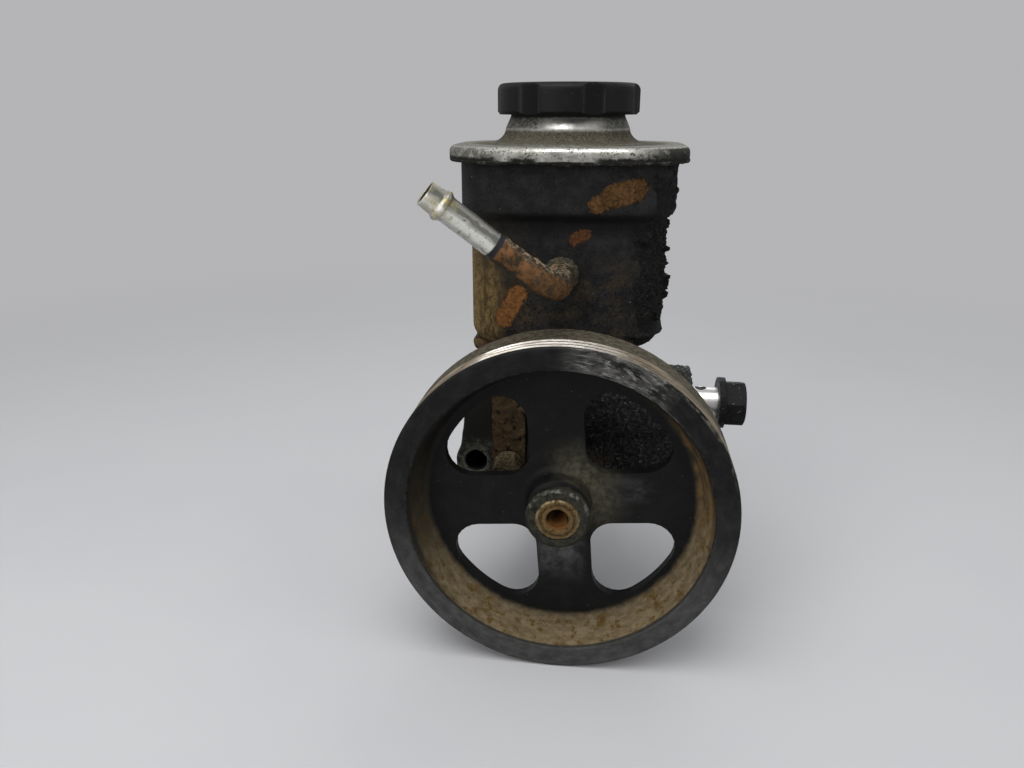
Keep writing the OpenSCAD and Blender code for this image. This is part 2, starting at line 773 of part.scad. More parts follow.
module valve_spring() color("#8f9193") {
    per_turn = 14;
    sides = 8;
    steps = spring_turns * per_turn;
    x0 = valve_end + spring_wire;
    x1 = spool_left - spring_wire;
    rings = [for (i = [0:steps], j = [0:sides - 1]) let (a = 360 * i / per_turn, b = 360 * j / sides,
        r = spring_reach + spring_wire * cos(b)) [x0 + (x1 - x0) * i / steps + spring_wire * sin(b),
        valve_y + r * cos(a), valve_z + r * sin(a)]];
    walls = [for (i = [0:steps - 1], j = [0:sides - 1]) let (k = (j + 1) % sides)
        [i * sides + j, i * sides + k, (i + 1) * sides + k, (i + 1) * sides + j]];
    polyhedron(rings, concat([[for (j = [sides - 1:-1:0]) j]], walls,
        [[for (j = [0:sides - 1]) steps * sides + j]]), convexity = 10);
}

module outlet_union() color("#6f6a5c") difference() {
    rod_x(union_r, union_in, outlet_x);
    rod_x(bolt_r, union_in - cut, outlet_x + cut);
}

// hollow outlet bolt, left in its thread with the hose eye taken off
module banjo_bolt() color("#3a3b3c") difference() {
    union() {
        rod_x(bolt_r, bolt_in, flange_x + cut);
        rod_x(flange_r, flange_x, flange_x + flange_t);
        intersection() {
            translate([flange_x, valve_y, valve_z]) rotate([hex_turn, 0, 0]) rotate([0, 90, 0])
                cylinder(d = outlet_bolt_af / cos(30), h = flange_t + hex_h, $fn = 6);
            translate([flange_x + flange_t + hex_h, valve_y, valve_z]) rotate([0, -90, 0])
                cylinder(r1 = hex_chamfer_r, r2 = hex_chamfer_r + 2 * hex_h, h = flange_t + hex_h);
        }
    }
    rod_x(bolt_bore_r, bolt_in - cut, bolt_bore_end);
    translate([cross_x, valve_y, valve_z - 2 * bolt_r]) cylinder(r = cross_r, h = 4 * bolt_r);
    rod_y(cross_r, valve_y - 2 * bolt_r, valve_y + 2 * bolt_r, cross_x, valve_z);
}

// ring that seals the reservoir's spigot in the tower
module inlet_o_ring() color("#151515") translate([res_x, inlet_y, res_z - o_ring_r]) rotate_extrude()
    translate([spigot_r + o_ring_r, 0]) circle(o_ring_r - side_gap);

// reservoir: deep-drawn can with a rounded floor, a shoulder and an outturned seam flange
function can_section(t, top) = concat([[0, res_z + t], [lower_r - floor_fillet, res_z + t]],
    arc([lower_r - floor_fillet, res_z + floor_fillet], floor_fillet - t, -90, 0),
    [for (i = [0:arc_steps]) [lower_r - t + (upper_r - lower_r) * (1 - cos(180 * i / arc_steps)) / 2,
        step_z + step_h * i / arc_steps]],
    [[upper_r - t, top], [0, top]]);

module reservoir_body() color("#232220") difference() {
    union() {
        translate([res_x, res_y, 0]) {
            round_block(res_hx, res_hy, res_z, res_top) polygon(can_section(0, res_top));
            round_sweep(res_hx, res_hy) translate([upper_r - sheet_t / 2, res_top - sheet_t])
                square([seam_w + sheet_t / 2, sheet_t]);
        }
        translate([res_x, inlet_y, res_z - spigot_drop]) cylinder(r = spigot_r, h = spigot_drop + sheet_t);
    }
    translate([res_x, res_y, 0]) round_block(res_hx, res_hy, res_z + sheet_t, res_top + cut)
        polygon(can_section(sheet_t, res_top + cut));
    translate([res_x, inlet_y, res_z - spigot_drop - cut])
        cylinder(r = spigot_r - sheet_t, h = spigot_drop + sheet_t + 2 * cut);
    rod_y(stub_r, res_front - cut, res_front + 2 * sheet_t, tube_x, tube_z);
}

// lid: pressed sheet with a rolled rim round the seam and a flared filler neck
module lid_rim() polygon(concat([[0, lid_top - sheet_t], [0, lid_top]],
    arc([lid_r - lid_edge_r, lid_top - lid_edge_r], lid_edge_r, 90, 0),
    arc([lid_r - edge_r, lid_bottom + edge_r], edge_r, 0, -90),
    [[upper_r + loose_gap, lid_bottom], [upper_r + loose_gap, lid_bottom + sheet_t],
        [lid_r - sheet_t, lid_bottom + sheet_t]],
    arc([lid_r - lid_edge_r, lid_top - lid_edge_r], lid_edge_r - sheet_t, 0, 90)));

function flare(t) = [for (i = [0:arc_steps]) let (a = 90 * i / arc_steps)
    [flare_r - (flare_r - bead_r + t) * sin(a), lid_top - t + (bead_h + t) * (1 - cos(a))]];

module reservoir_lid() color("#8f8d86") translate([res_x, res_y, 0]) {
    difference() {
        union() {
            round_sweep(res_hx, res_hy) lid_rim();
            translate([-res_hx, -res_hy, lid_top - sheet_t]) cube([2 * res_hx, 2 * res_hy, sheet_t]);
        }
        translate([neck_x - res_x, 0, lid_top - sheet_t - cut])
            cylinder(r = flare_r, h = sheet_t + 2 * cut);
    }
    inner = flare(sheet_t);
    translate([neck_x - res_x, 0, 0]) rotate_extrude() polygon(concat(
        flare(0), [[neck_r, neck_foot], [neck_r, neck_top],
        [neck_r - sheet_t, neck_top], [neck_r - sheet_t, neck_foot]],
        [for (i = [len(inner) - 1:-1:0]) inner[i]]));
}

// screw cap with grip grooves, its sealing ring and its dipstick
module filler_cap() color("#161617") translate([neck_x, res_y, 0]) difference() {
    rotate_extrude() polygon(concat([[0, cap_ceiling], [neck_r + cap_gap, cap_ceiling],
        [neck_r + cap_gap, cap_bottom], [cap_r - edge_r, cap_bottom], [cap_r, cap_bottom + edge_r]],
        arc([cap_r - cap_edge_r, cap_top - cap_edge_r], cap_edge_r, 0, 90),
        [[neck_r, cap_top], [neck_r - cap_dish, cap_top - cap_dish], [0, cap_top - cap_dish]]));
    for (k = [0:cap_grooves - 1]) rotate(360 * (k + groove_start) / cap_grooves)
        translate([cap_r + groove_r - groove_depth, 0, cap_bottom - cut])
            cylinder(r = groove_r, h = cap_h + 2 * cut);
}

module cap_gasket() color("#1d1d1d") translate([neck_x, res_y, neck_top]) difference() {
    cylinder(r = neck_r, h = gasket_t);
    translate([0, 0, -cut]) cylinder(r = neck_r - gasket_w, h = gasket_t + 2 * cut);
}

module dipstick() color("#1c1c1d") translate([neck_x, res_y, cap_ceiling]) {
    translate([0, 0, -dip_boss_h]) cylinder(r = dip_boss_r, h = dip_boss_h);
    translate([-dip_w / 2, -dip_t / 2, -dipstick_l]) cube([dip_w, dip_t, dipstick_l - dip_boss_h]);
}

// return tube: brazed into the front wall, bent up to the left, with a bead for the hose
module tube_root() translate([tube_x, res_front, tube_z]) rotate([0, tube_climb, 0]) children();

module leg_frame() translate([-tube_bend_r, -tube_stub, 0]) rotate([0, 0, -tube_bend])
    translate([tube_bend_r, 0, 0]) rotate([90, 0, 0]) children();

// the tube's solid path, thinner all round by inset and longer at both ends by extra
module tube_path(inset, extra) tube_root() {
    translate([0, tube_inside + extra, 0]) rotate([90, 0, 0])
        cylinder(r = stub_r - inset, h = tube_stub + tube_inside + extra);
    translate([-tube_bend_r, -tube_stub, 0]) rotate([180, 0, 0]) rotate_extrude(angle = tube_bend)
        translate([tube_bend_r, 0]) circle(stub_r - inset);
    leg_frame() translate([0, 0, -cut]) cylinder(r = tube_r - inset, h = tube_leg + cut + extra);
}

module hose_bead() rotate_extrude() intersection() {
    translate([tube_r - tube_wall / 2, 0]) square([bead_w, bead_w]);
    translate([tube_bead_d / 2 - bead_w / 2, bead_w / 2]) circle(bead_w / 2);
}

module return_tube() color("#a9a590") difference() {
    union() {
        tube_path(0, 0);
        tube_root() leg_frame() translate([0, 0, tube_leg - tube_tip - bead_w]) hose_bead();
    }
    tube_path(tube_wall, cut);
}

module tube_collar() color("#6e5a42") difference() {
    translate([tube_x, res_front - collar_l, tube_z]) rotate([-90, 0, 0])
        cylinder(r1 = stub_r + 1, r2 = collar_r, h = collar_l);
    rod_y(stub_r, res_front - collar_l - cut, res_front + cut, tube_x, tube_z);
}

// bracket: strap bolted to the housing face, bent into a shelf under the reservoir floor
module strap_bolt_places() for (k = [0:1])
    translate([strap_x, 0, strap_bolt_z - k * strap_bolt_pitch]) children();

module reservoir_bracket() color("#7a4f30") difference() {
    union() {
        translate([strap_left, strap_front, strap_bottom]) cube([strap_w, strap_t, res_z - strap_bottom]);
        translate([strap_left, strap_front, shelf_z])
            cube([min(shelf_right - strap_left, strap_w), strap_t * 4, strap_t]);
        translate([shelf_left + shelf_corner, shelf_front, shelf_z])
            cube([shelf_right - shelf_left - shelf_corner, shelf_l, strap_t]);
        translate([shelf_left, shelf_front + shelf_corner, shelf_z])
            cube([shelf_right - shelf_left, shelf_l - 2 * shelf_corner, strap_t]);
        for (y = [shelf_corner, shelf_l - shelf_corner])
            translate([shelf_left + shelf_corner, shelf_front + y, shelf_z])
                cylinder(r = shelf_corner, h = strap_t);
    }
    strap_bolt_places() rod_y(strap_bolt_d / 2 + loose_gap, strap_front - cut, face_y + cut);
}

module bracket_bolts() color("#6d4a33") strap_bolt_places() translate([0, strap_front, 0])
    rotate([90, 0, 0]) flange_bolt(strap_bolt_d, strap_t + strap_thread_l,
        strap_flange_r, strap_flange_t, strap_hex_af, strap_hex_h);

pulley();
drive_shaft();
shaft_seal();
bearing_outer_ring();
bearing_inner_ring();
bearing_balls();
bearing_cage();
bearing_snap_ring();
pump_housing();
thrust_plate();
cam_ring();
rotor();
vanes();
dowel_pins();
pressure_plate();
plate_spring();
rear_cover();
cover_o_ring();
cover_bolts();
valve_spool();
valve_spring();
outlet_union();
banjo_bolt();
inlet_o_ring();
reservoir_body();
reservoir_lid();
filler_cap();
cap_gasket();
dipstick();
return_tube();
tube_collar();
reservoir_bracket();
bracket_bolts();
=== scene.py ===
import json
import math

import bpy
import numpy as np
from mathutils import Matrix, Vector, noise
from mathutils.bvhtree import BVHTree

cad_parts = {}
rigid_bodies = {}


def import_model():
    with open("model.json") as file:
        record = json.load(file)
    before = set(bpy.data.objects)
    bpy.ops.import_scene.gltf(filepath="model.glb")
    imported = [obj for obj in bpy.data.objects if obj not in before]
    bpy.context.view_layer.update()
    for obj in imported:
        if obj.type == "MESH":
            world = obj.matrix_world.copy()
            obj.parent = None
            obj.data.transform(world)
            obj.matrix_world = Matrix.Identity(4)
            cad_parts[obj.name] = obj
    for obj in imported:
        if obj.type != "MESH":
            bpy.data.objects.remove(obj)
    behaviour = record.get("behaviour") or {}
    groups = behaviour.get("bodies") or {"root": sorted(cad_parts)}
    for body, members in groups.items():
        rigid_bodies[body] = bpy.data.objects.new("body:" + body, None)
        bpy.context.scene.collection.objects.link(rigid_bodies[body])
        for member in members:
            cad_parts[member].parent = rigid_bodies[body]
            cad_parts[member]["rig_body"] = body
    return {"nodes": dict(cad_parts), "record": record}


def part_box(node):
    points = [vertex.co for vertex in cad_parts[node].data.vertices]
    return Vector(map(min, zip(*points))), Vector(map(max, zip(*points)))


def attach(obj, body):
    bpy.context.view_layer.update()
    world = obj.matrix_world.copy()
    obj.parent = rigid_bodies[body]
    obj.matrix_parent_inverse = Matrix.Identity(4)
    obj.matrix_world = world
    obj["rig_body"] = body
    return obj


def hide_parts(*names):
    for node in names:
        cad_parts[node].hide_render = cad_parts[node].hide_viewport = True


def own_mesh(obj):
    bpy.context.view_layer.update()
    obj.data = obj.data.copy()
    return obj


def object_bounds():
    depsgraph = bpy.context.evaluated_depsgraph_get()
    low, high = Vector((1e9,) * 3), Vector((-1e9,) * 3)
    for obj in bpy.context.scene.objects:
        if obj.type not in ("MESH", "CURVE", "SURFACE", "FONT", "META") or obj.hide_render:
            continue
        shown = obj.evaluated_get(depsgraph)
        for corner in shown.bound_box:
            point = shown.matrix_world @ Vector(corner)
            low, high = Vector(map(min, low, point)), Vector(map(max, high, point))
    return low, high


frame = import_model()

cad_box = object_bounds()
mm = 0.001

# The pump stands on the lowest point of its pulley, on plain pale paper that fades into the backdrop.
# It is seen from the pulley's side and a little above, under a wide panel and three weaker ones.
photo_width, focal_pixels = 1024, 780
camera_place = Vector((17.49, -289.51, 162.26)) * mm
camera_pitch, camera_yaw = math.radians(19.47), math.radians(7.23)
pump_middle = Vector((0, 60, 50)) * mm
camera_data = bpy.data.cameras.new("camera")
camera_data.sensor_width = 36.0
camera_data.lens = camera_data.sensor_width * focal_pixels / photo_width
camera_data.clip_start = 10 * mm
camera = bpy.data.objects.new("camera", camera_data)
camera.location = camera_place
camera.rotation_euler = (math.radians(90) - camera_pitch, 0, camera_yaw)
bpy.context.scene.collection.objects.link(camera)
bpy.context.scene.camera = camera
bpy.context.scene.view_settings.view_transform = "Standard"


def panel(name, place, width, watts):
    """A square soft light that faces the middle of the pump."""
    data = bpy.data.lights.new(name, "AREA")
    data.size = width
    data.energy = watts
    lamp = bpy.data.objects.new(name, data)
    lamp.location = place
    aim = pump_middle - Vector(place)
    lamp.rotation_euler = aim.to_track_quat("-Z", "Y").to_euler()
    bpy.context.scene.collection.objects.link(lamp)


panel("panel_overhead", (-0.15, -0.30, 0.95), 0.8, 9)
panel("panel_front_left", (-0.50, -0.85, 0.40), 0.5, 2.6)
panel("panel_right", (0.90, -0.40, 0.50), 0.8, 1.8)
panel("panel_back", (0.25, 1.15, 0.75), 0.8, 2.4)

sky_white, sky_strength = (0.95, 0.97, 1.0, 1), 0.55
backdrop_grey = (0.46, 0.46, 0.47, 1)
world = bpy.data.worlds.new("studio")
world.use_nodes = True
bpy.context.scene.world = world
sky_nodes, sky_links = world.node_tree.nodes, world.node_tree.links
sky = sky_nodes["Background"]
sky.inputs["Color"].default_value = sky_white
sky.inputs["Strength"].default_value = sky_strength
seen_sky = sky_nodes.new("ShaderNodeBackground")
seen_sky.inputs["Color"].default_value = backdrop_grey


def seen_rays(tree):
    """1 on rays that the camera sees, directly or by way of a shiny or clear surface."""
    ray = tree.nodes.new("ShaderNodeLightPath")
    seen = ray.outputs["Is Camera Ray"]
    for kind in ("Is Glossy Ray", "Is Transmission Ray"):
        either = tree.nodes.new("ShaderNodeMath")
        either.operation = "MAXIMUM"
        tree.links.new(seen, either.inputs[0])
        tree.links.new(ray.outputs[kind], either.inputs[1])
        seen = either.outputs[0]
    return seen


sky_mix = sky_nodes.new("ShaderNodeMixShader")
sky_links.new(seen_rays(world.node_tree), sky_mix.inputs[0])
sky_links.new(sky.outputs[0], sky_mix.inputs[1])
sky_links.new(seen_sky.outputs[0], sky_mix.inputs[2])
sky_links.new(sky_mix.outputs[0], sky_nodes["World Output"].inputs["Surface"])


class Finish:
    """A surface made of coats. Each coat hides what lies under it where its mask is 1.

    Here all lengths are in millimetres: places, sizes of grain, depths of bumps, widths of edges.
    """

    def __init__(self, name, colour, roughness, metallic=0.0, gloss=0.5):
        self.material = bpy.data.materials.new(name)
        self.material.use_nodes = True
        self.tree = self.material.node_tree
        self.shader = self.tree.nodes["Principled BSDF"]
        self.place = self.node("ShaderNodeTexCoord").outputs["Object"]
        self.now = {"Base Color": (*colour, 1), "Roughness": roughness, "Metallic": metallic,
                    "Specular IOR Level": gloss}
        self.bumps = []

    def node(self, kind, **settings):
        made = self.tree.nodes.new(kind)
        for key, value in settings.items():
            setattr(made, key, value)
        return made

    def feed(self, socket, value):
        if isinstance(value, bpy.types.NodeSocket):
            self.tree.links.new(value, socket)
        else:
            socket.default_value = value

    def math(self, operation, *values):
        made = self.node("ShaderNodeMath", operation=operation)
        for socket, value in zip(made.inputs, values):
            self.feed(socket, value)
        return made.outputs[0]

    def vector(self, operation, *values):
        made = self.node("ShaderNodeVectorMath", operation=operation)
        for socket, value in zip(made.inputs, values):
            self.feed(socket, value)
        return made.outputs["Value" if operation in ("LENGTH", "DOT_PRODUCT") else "Vector"]

    def part(self, letter, source):
        made = self.node("ShaderNodeSeparateXYZ")
        self.feed(made.inputs[0], source)
        return made.outputs["XYZ".index(letter)]

    def in_mm(self, metres):
        return self.math("DIVIDE", metres, mm)

    def axis(self, letter):
        return self.in_mm(self.part(letter, self.place))

    def facing(self, letter):
        return self.part(letter, self.node("ShaderNodeNewGeometry").outputs["Normal"])

    def ramp(self, value, low, high):
        """0 at low, 1 at high, smooth between; low may be the larger."""
        made = self.node("ShaderNodeMapRange", interpolation_type="SMOOTHSTEP")
        ends = (low, high, 0.0, 1.0) if high > low else (high, low, 1.0, 0.0)
        for socket, number in zip(made.inputs, (value, *ends)):
            self.feed(socket, number)
        return made.outputs[0]

    def between(self, value, low, high, soft):
        """1 from low to high, with edges that fade over soft on each side."""
        return self.both(self.ramp(value, low - soft, low + soft), self.ramp(value, high + soft, high - soft))

    def reach(self, spread, centre=(0, 0, 0)):
        """Distance from centre, a place in metres, with each axis stretched by spread."""
        offset = self.vector("SUBTRACT", self.place, tuple(centre))
        return self.in_mm(self.vector("LENGTH", self.vector("MULTIPLY", offset, spread)))

    def grain(self, size, detail=5.0, stretch=(1, 1, 1), shift=0.0, source=None):
        """Cloudy noise from 0 to 1 with features of that size; shift picks another cloud."""
        spot = self.node("ShaderNodeMapping")
        self.feed(spot.inputs["Vector"], source or self.place)
        spot.inputs["Location"].default_value = (shift, shift * 0.7, shift * 1.3)
        spot.inputs["Scale"].default_value = stretch
        made = self.node("ShaderNodeTexNoise")
        self.feed(made.inputs["Vector"], spot.outputs[0])
        made.inputs["Scale"].default_value = 1 / (size * mm)
        made.inputs["Detail"].default_value = detail
        made.inputs["Roughness"].default_value = 0.62
        return made.outputs[0]

    def patches(self, size, low, high, shift=0.0, stretch=(1, 1, 1), source=None):
        """1 in cloudy patches of that size; low and high set how much they cover."""
        return self.ramp(self.grain(size, 6, stretch, shift, source), low, high)

    def specks(self, spacing, share):
        """1 in small round specks, share of the spacing wide."""
        made = self.node("ShaderNodeTexVoronoi")
        self.feed(made.inputs["Vector"], self.place)
        made.inputs["Scale"].default_value = 1 / (spacing * mm)
        return self.ramp(made.outputs["Distance"], share, share * 0.6)

    def frayed(self, value, size, swing, shift, detail=6):
        """The value, moved by up to swing by noise of that size."""
        wander = self.math("SUBTRACT", self.grain(size, detail, shift=shift), 0.5)
        return self.math("ADD", value, self.math("MULTIPLY", wander, 2 * swing))

    def ragged(self, value, low, high, size, swing, shift=0.0):
        """A ramp whose edge wanders: noise of that size moves it by up to swing."""
        return self.ramp(self.frayed(value, size, swing, shift), low, high)

    def both(self, *masks):
        """1 where every mask is 1: their product."""
        product = masks[0]
        for mask in masks[1:]:
            product = self.math("MULTIPLY", product, mask)
        return product

    def mix(self, mask, under, over):
        colours = isinstance(over, tuple) or getattr(over, "type", "") == "RGBA"
        made = self.node("ShaderNodeMix", data_type="RGBA" if colours else "FLOAT")
        first = 6 if colours else 2
        self.feed(made.inputs[0], mask)
        self.feed(made.inputs[first], under)
        self.feed(made.inputs[first + 1], over)
        return made.outputs[2 if colours else 0]

    def shade(self, mask, low, high):
        """A colour that runs from low to high with the mask."""
        return self.mix(mask, (*low, 1), (*high, 1))

    def cloudy(self, cloud, low, high):
        """A colour that runs from low to high in patches; cloud is what patches() asks for."""
        return self.shade(self.patches(*cloud), low, high)

    def coat(self, mask, colour, roughness=None, metallic=None):
        """A further coat, where the mask, or every one of several, is 1."""
        if isinstance(mask, tuple):
            mask = self.both(*mask)
        if isinstance(colour, tuple):
            colour = (*colour, 1)
        for key, over in zip(self.now, (colour, roughness, metallic)):
            if over is not None:
                self.now[key] = self.mix(mask, self.now[key], over)

    def mottle(self, cloud, colour, roughness=None, metallic=None, on=()):
        """A coat in patches, within the mask or masks on; cloud is what patches() asks for."""
        within = on if isinstance(on, tuple) else (on,)
        self.coat((*within, self.patches(*cloud)), colour, roughness, metallic)

    def bump(self, height, depth):
        """Adds relief: height from 0 to 1 stands for that depth."""
        self.bumps.append((height, depth * mm))

    def pits(self, size, depth, detail=5, shift=0.0, on=None):
        """Adds grainy relief of that size and depth, where the mask is 1."""
        height = self.grain(size, detail, shift=shift)
        self.bump(self.both(on, height) if on else height, depth)

    def lay_on(self, *pieces, edge=0.0):
        """Wires the coats to the shader and gives the finish to the pieces."""
        normal = None
        if edge:
            round_edge = self.node("ShaderNodeBevel", samples=4)
            round_edge.inputs["Radius"].default_value = edge * mm
            normal = round_edge.outputs[0]
        for height, depth in self.bumps:
            relief = self.node("ShaderNodeBump")
            relief.inputs["Strength"].default_value = 1.0
            relief.inputs["Distance"].default_value = depth
            self.feed(relief.inputs["Height"], height)
            if normal:
                self.feed(relief.inputs["Normal"], normal)
            normal = relief.outputs[0]
        if normal:
            self.feed(self.shader.inputs["Normal"], normal)
        for key, value in self.now.items():
            self.feed(self.shader.inputs[key], value)
        for piece in pieces:
            piece.data.materials.clear()
            piece.data.materials.append(self.material)


def add_mesh(name, points, faces):
    mesh = bpy.data.meshes.new(name)
    mesh.from_pydata(points, [], faces)
    piece = bpy.data.objects.new(name, mesh)
    bpy.context.scene.collection.objects.link(piece)
    return piece


floor_half = 4.0
haze_start, haze_end = 250, 1100
floor_corners = [(x * floor_half, y * floor_half, cad_box[0].z)
                 for x, y in ((-1, -1), (1, -1), (1, 1), (-1, 1))]
floor = add_mesh("floor", floor_corners, [(0, 1, 2, 3)])
paper = Finish("floor_paper", (0.455, 0.455, 0.462), 0.9, gloss=0.1)
paper.mottle((250, 0.4, 0.8), (0.435, 0.435, 0.447))
paper.lay_on(floor)
far_away = paper.ramp(paper.reach((1, 1, 0)), haze_start, haze_end)
haze = paper.node("ShaderNodeEmission")
haze.inputs["Color"].default_value = backdrop_grey
far_floor = paper.node("ShaderNodeMixShader")
paper.feed(far_floor.inputs[0], paper.both(seen_rays(paper.tree), far_away))
paper.feed(far_floor.inputs[1], paper.shader.outputs[0])
paper.feed(far_floor.inputs[2], haze.outputs[0])
paper.feed(paper.tree.nodes["Material Output"].inputs["Surface"], far_floor.outputs[0])


# The housing is one sand casting in iron, machined only at its bores and joint faces. Its nose rises from
# a filleted root. Leaking oil has caught dust on it: a crumbly black crust on the valve side and dull
# grey-green dirt on the ear. The ear's bore is painted near black and closed by a dark lumpy fill: painted
# shade deep in the bore.
def solid(*names):
    return [frame["nodes"][name] for name in names]


def weathered_copy(node, name, voxel, rounds):
    """A finer copy of a solid with softened edges, which stands for it and moves with its body."""
    source = frame["nodes"][node]
    piece = bpy.data.objects.new(name, source.data.copy())
    bpy.context.scene.collection.objects.link(piece)
    remesh = piece.modifiers.new("voxels", "REMESH")
    remesh.mode = "VOXEL"
    remesh.voxel_size = voxel
    remesh.use_smooth_shade = True
    soften = piece.modifiers.new("soften", "SMOOTH")
    soften.iterations = rounds
    whole = piece.evaluated_get(bpy.context.evaluated_depsgraph_get())
    worn = bpy.data.meshes.new_from_object(whole)
    piece.modifiers.clear()
    piece.data = worn
    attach(piece, source["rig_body"])
    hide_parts(node)
    return piece


def roughen(piece, depth):
    """Moves every point of a piece along its normal by depth(point)."""
    mesh = piece.data
    count = len(mesh.vertices)
    points = np.empty(count * 3, np.float32)
    normals = np.empty(count * 3, np.float32)
    mesh.vertices.foreach_get("co", points)
    mesh.vertex_normals.foreach_get("vector", normals)
    points = points.reshape(-1, 3)
    moves = np.array([depth(Vector(point.tolist())) for point in points], np.float32)
    mesh.vertices.foreach_set("co", (points + normals.reshape(-1, 3) * moves[:, None]).ravel())
    mesh.update()


def step(value, low, high):
    """Smooth step from 0 at low to 1 at high; low may be the larger."""
    share = min(1.0, max(0.0, (value - low) / (high - low)))
    return share * share * (3 - 2 * share)


def clods(point, size):
    """Height from 0 to about 1 of crumbly dirt with clods of that size."""
    near = noise.voronoi(point / size)[0]
    return min(1.0, near[1] - near[0]) * 0.7 + 0.3 * noise.noise(point / size * 2.3)


def weathering(point, size, octaves):
    """Uneven noise about 0, with features of that size and smaller ones on them."""
    return noise.fractal(point / size, 1.0, 2.0, octaves)


def on_valve_side(point):
    return step(point.x, -6 * mm, 8 * mm) * step(point.z, -16 * mm, 0) * step(point.y, 74 * mm, 62 * mm)


def housing_relief(point):
    skin = 0.12 * mm * weathering(point, 2.5 * mm, 3)
    crumbs = 1.3 * mm * clods(point, 4.2 * mm) + 1.1 * mm * clods(point, 1.8 * mm)
    return step(point.y, 34 * mm, 42 * mm) * (skin + on_valve_side(point) * crumbs)


housing = weathered_copy("pump_housing", "housing_casting", 1.0 * mm, 4)
roughen(housing, housing_relief)


def grimy_casting(name):
    iron = Finish(name, (0.009, 0.009, 0.008), 0.62, gloss=0.25)
    iron.mottle((9, 0.45, 0.7), (0.020, 0.018, 0.014), 0.85)
    iron.mottle((14, 0.55, 0.66, 3.1), (0.005, 0.005, 0.005), 0.32)
    iron.mottle((6, 0.46, 0.6, 4.0), (0.075, 0.073, 0.066), 0.7, on=iron.specks(1.9, 0.16))
    upper_faces = iron.ramp(iron.facing("Z"), 0.35, 0.9)
    iron.mottle((5, 0.35, 0.6, 1.7), (0.050, 0.043, 0.030), 0.92, on=upper_faces)
    iron.pits(0.9, 0.25, detail=4)
    return iron


mounts = {mount["name"]: mount for mount in frame["record"]["mounts"]}
ear_bore = Vector(mounts["ear_bore_left"]["pos_m"])
casting = grimy_casting("grimy_casting")
ear_side = casting.ragged(casting.axis("X"), -27, -31, 5, 3)
ear_tone = casting.cloudy((3, 0.4, 0.62), (0.016, 0.016, 0.012), (0.098, 0.095, 0.071))
flank_tone = casting.cloudy((6, 0.34, 0.68, 1.0), (0.013, 0.012, 0.009), (0.044, 0.040, 0.029))
casting.coat(ear_side, flank_tone, 0.88)
casting.coat((ear_side, casting.ramp(casting.facing("Y"), -0.45, -0.85)), ear_tone, 0.85)
bore_height = ear_bore.z / mm
above_bore = casting.ragged(casting.axis("Z"), bore_height + 8, bore_height + 14, 5, 4, 4.0)
casting.coat((ear_side, above_bore), (0.010, 0.010, 0.008), 0.85)
across_ear = casting.reach((1, 0, 1), ear_bore)
ear_rim = casting.both(casting.ramp(across_ear, 5.2, 5.6),
                       casting.ragged(across_ear, 7.6, 6.2, 3, 1),
                       casting.ramp(casting.axis("Y"), 54, 52.6))
casting.mottle((2, 0.36, 0.6, 7.0), (0.125, 0.118, 0.095), 0.6, on=ear_rim)
# The wall of the ear's bore is painted near black: painted shade inside the bore.
casting.coat(casting.ramp(across_ear, 5.5, 5.2), (0.006, 0.006, 0.006), 0.9)
tar_side = casting.both(casting.ramp(casting.axis("X"), -4, 8), casting.ramp(casting.axis("Z"), -14, 0.0))
casting.coat(tar_side, (0.009, 0.009, 0.009), 0.5)
casting.mottle((1.9, 0.47, 0.60, 2.0), (0.046, 0.046, 0.041), 0.6, on=tar_side)
casting.mottle((1.3, 0.52, 0.60, 9.0), (0.003, 0.003, 0.003), 0.6, on=tar_side)
glints = casting.both(casting.patches(1.2, 0.57, 0.66, 6.0), casting.patches(5, 0.42, 0.58, 3.0))
casting.coat((tar_side, glints), (0.21, 0.21, 0.19), 0.5)
from_corner = casting.reach((1, 0, 1), (14 * mm, 0, 4 * mm))
low_corner = casting.ragged(from_corner, 8, 4, 4, 4)
casting.mottle((1.8, 0.42, 0.6, 5.0), (0.085, 0.060, 0.030), 0.9, on=low_corner)
casting.pits(2.2, 2.4, detail=6, shift=2.0, on=tar_side)


def ring_faces(steps, count):
    """The quads of a closed ring of that many steps, with count points round each cross-section."""
    quads = []
    for k in range(steps):
        here, after = k * count, (k + 1) % steps * count
        for i in range(count):
            j = (i + 1) % count
            quads.append((here + i, here + j, after + j, after + i))
    return quads


root_steps = 96
root_profile = ((16.3, 46.0), (16.9, 48.2), (18.3, 50.0), (20.6, 51.1),
                (22.6, 51.6), (22.6, 51.98), (16.3, 51.98))
root_points = []
for k in range(root_steps):
    turn = 2 * math.pi * k / root_steps
    root_points += [(r * mm * math.cos(turn), y * mm, r * mm * math.sin(turn)) for r, y in root_profile]
nose_root = add_mesh("nose_root", root_points, ring_faces(root_steps, len(root_profile)))
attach(nose_root, "pump")
casting.lay_on(housing, nose_root)
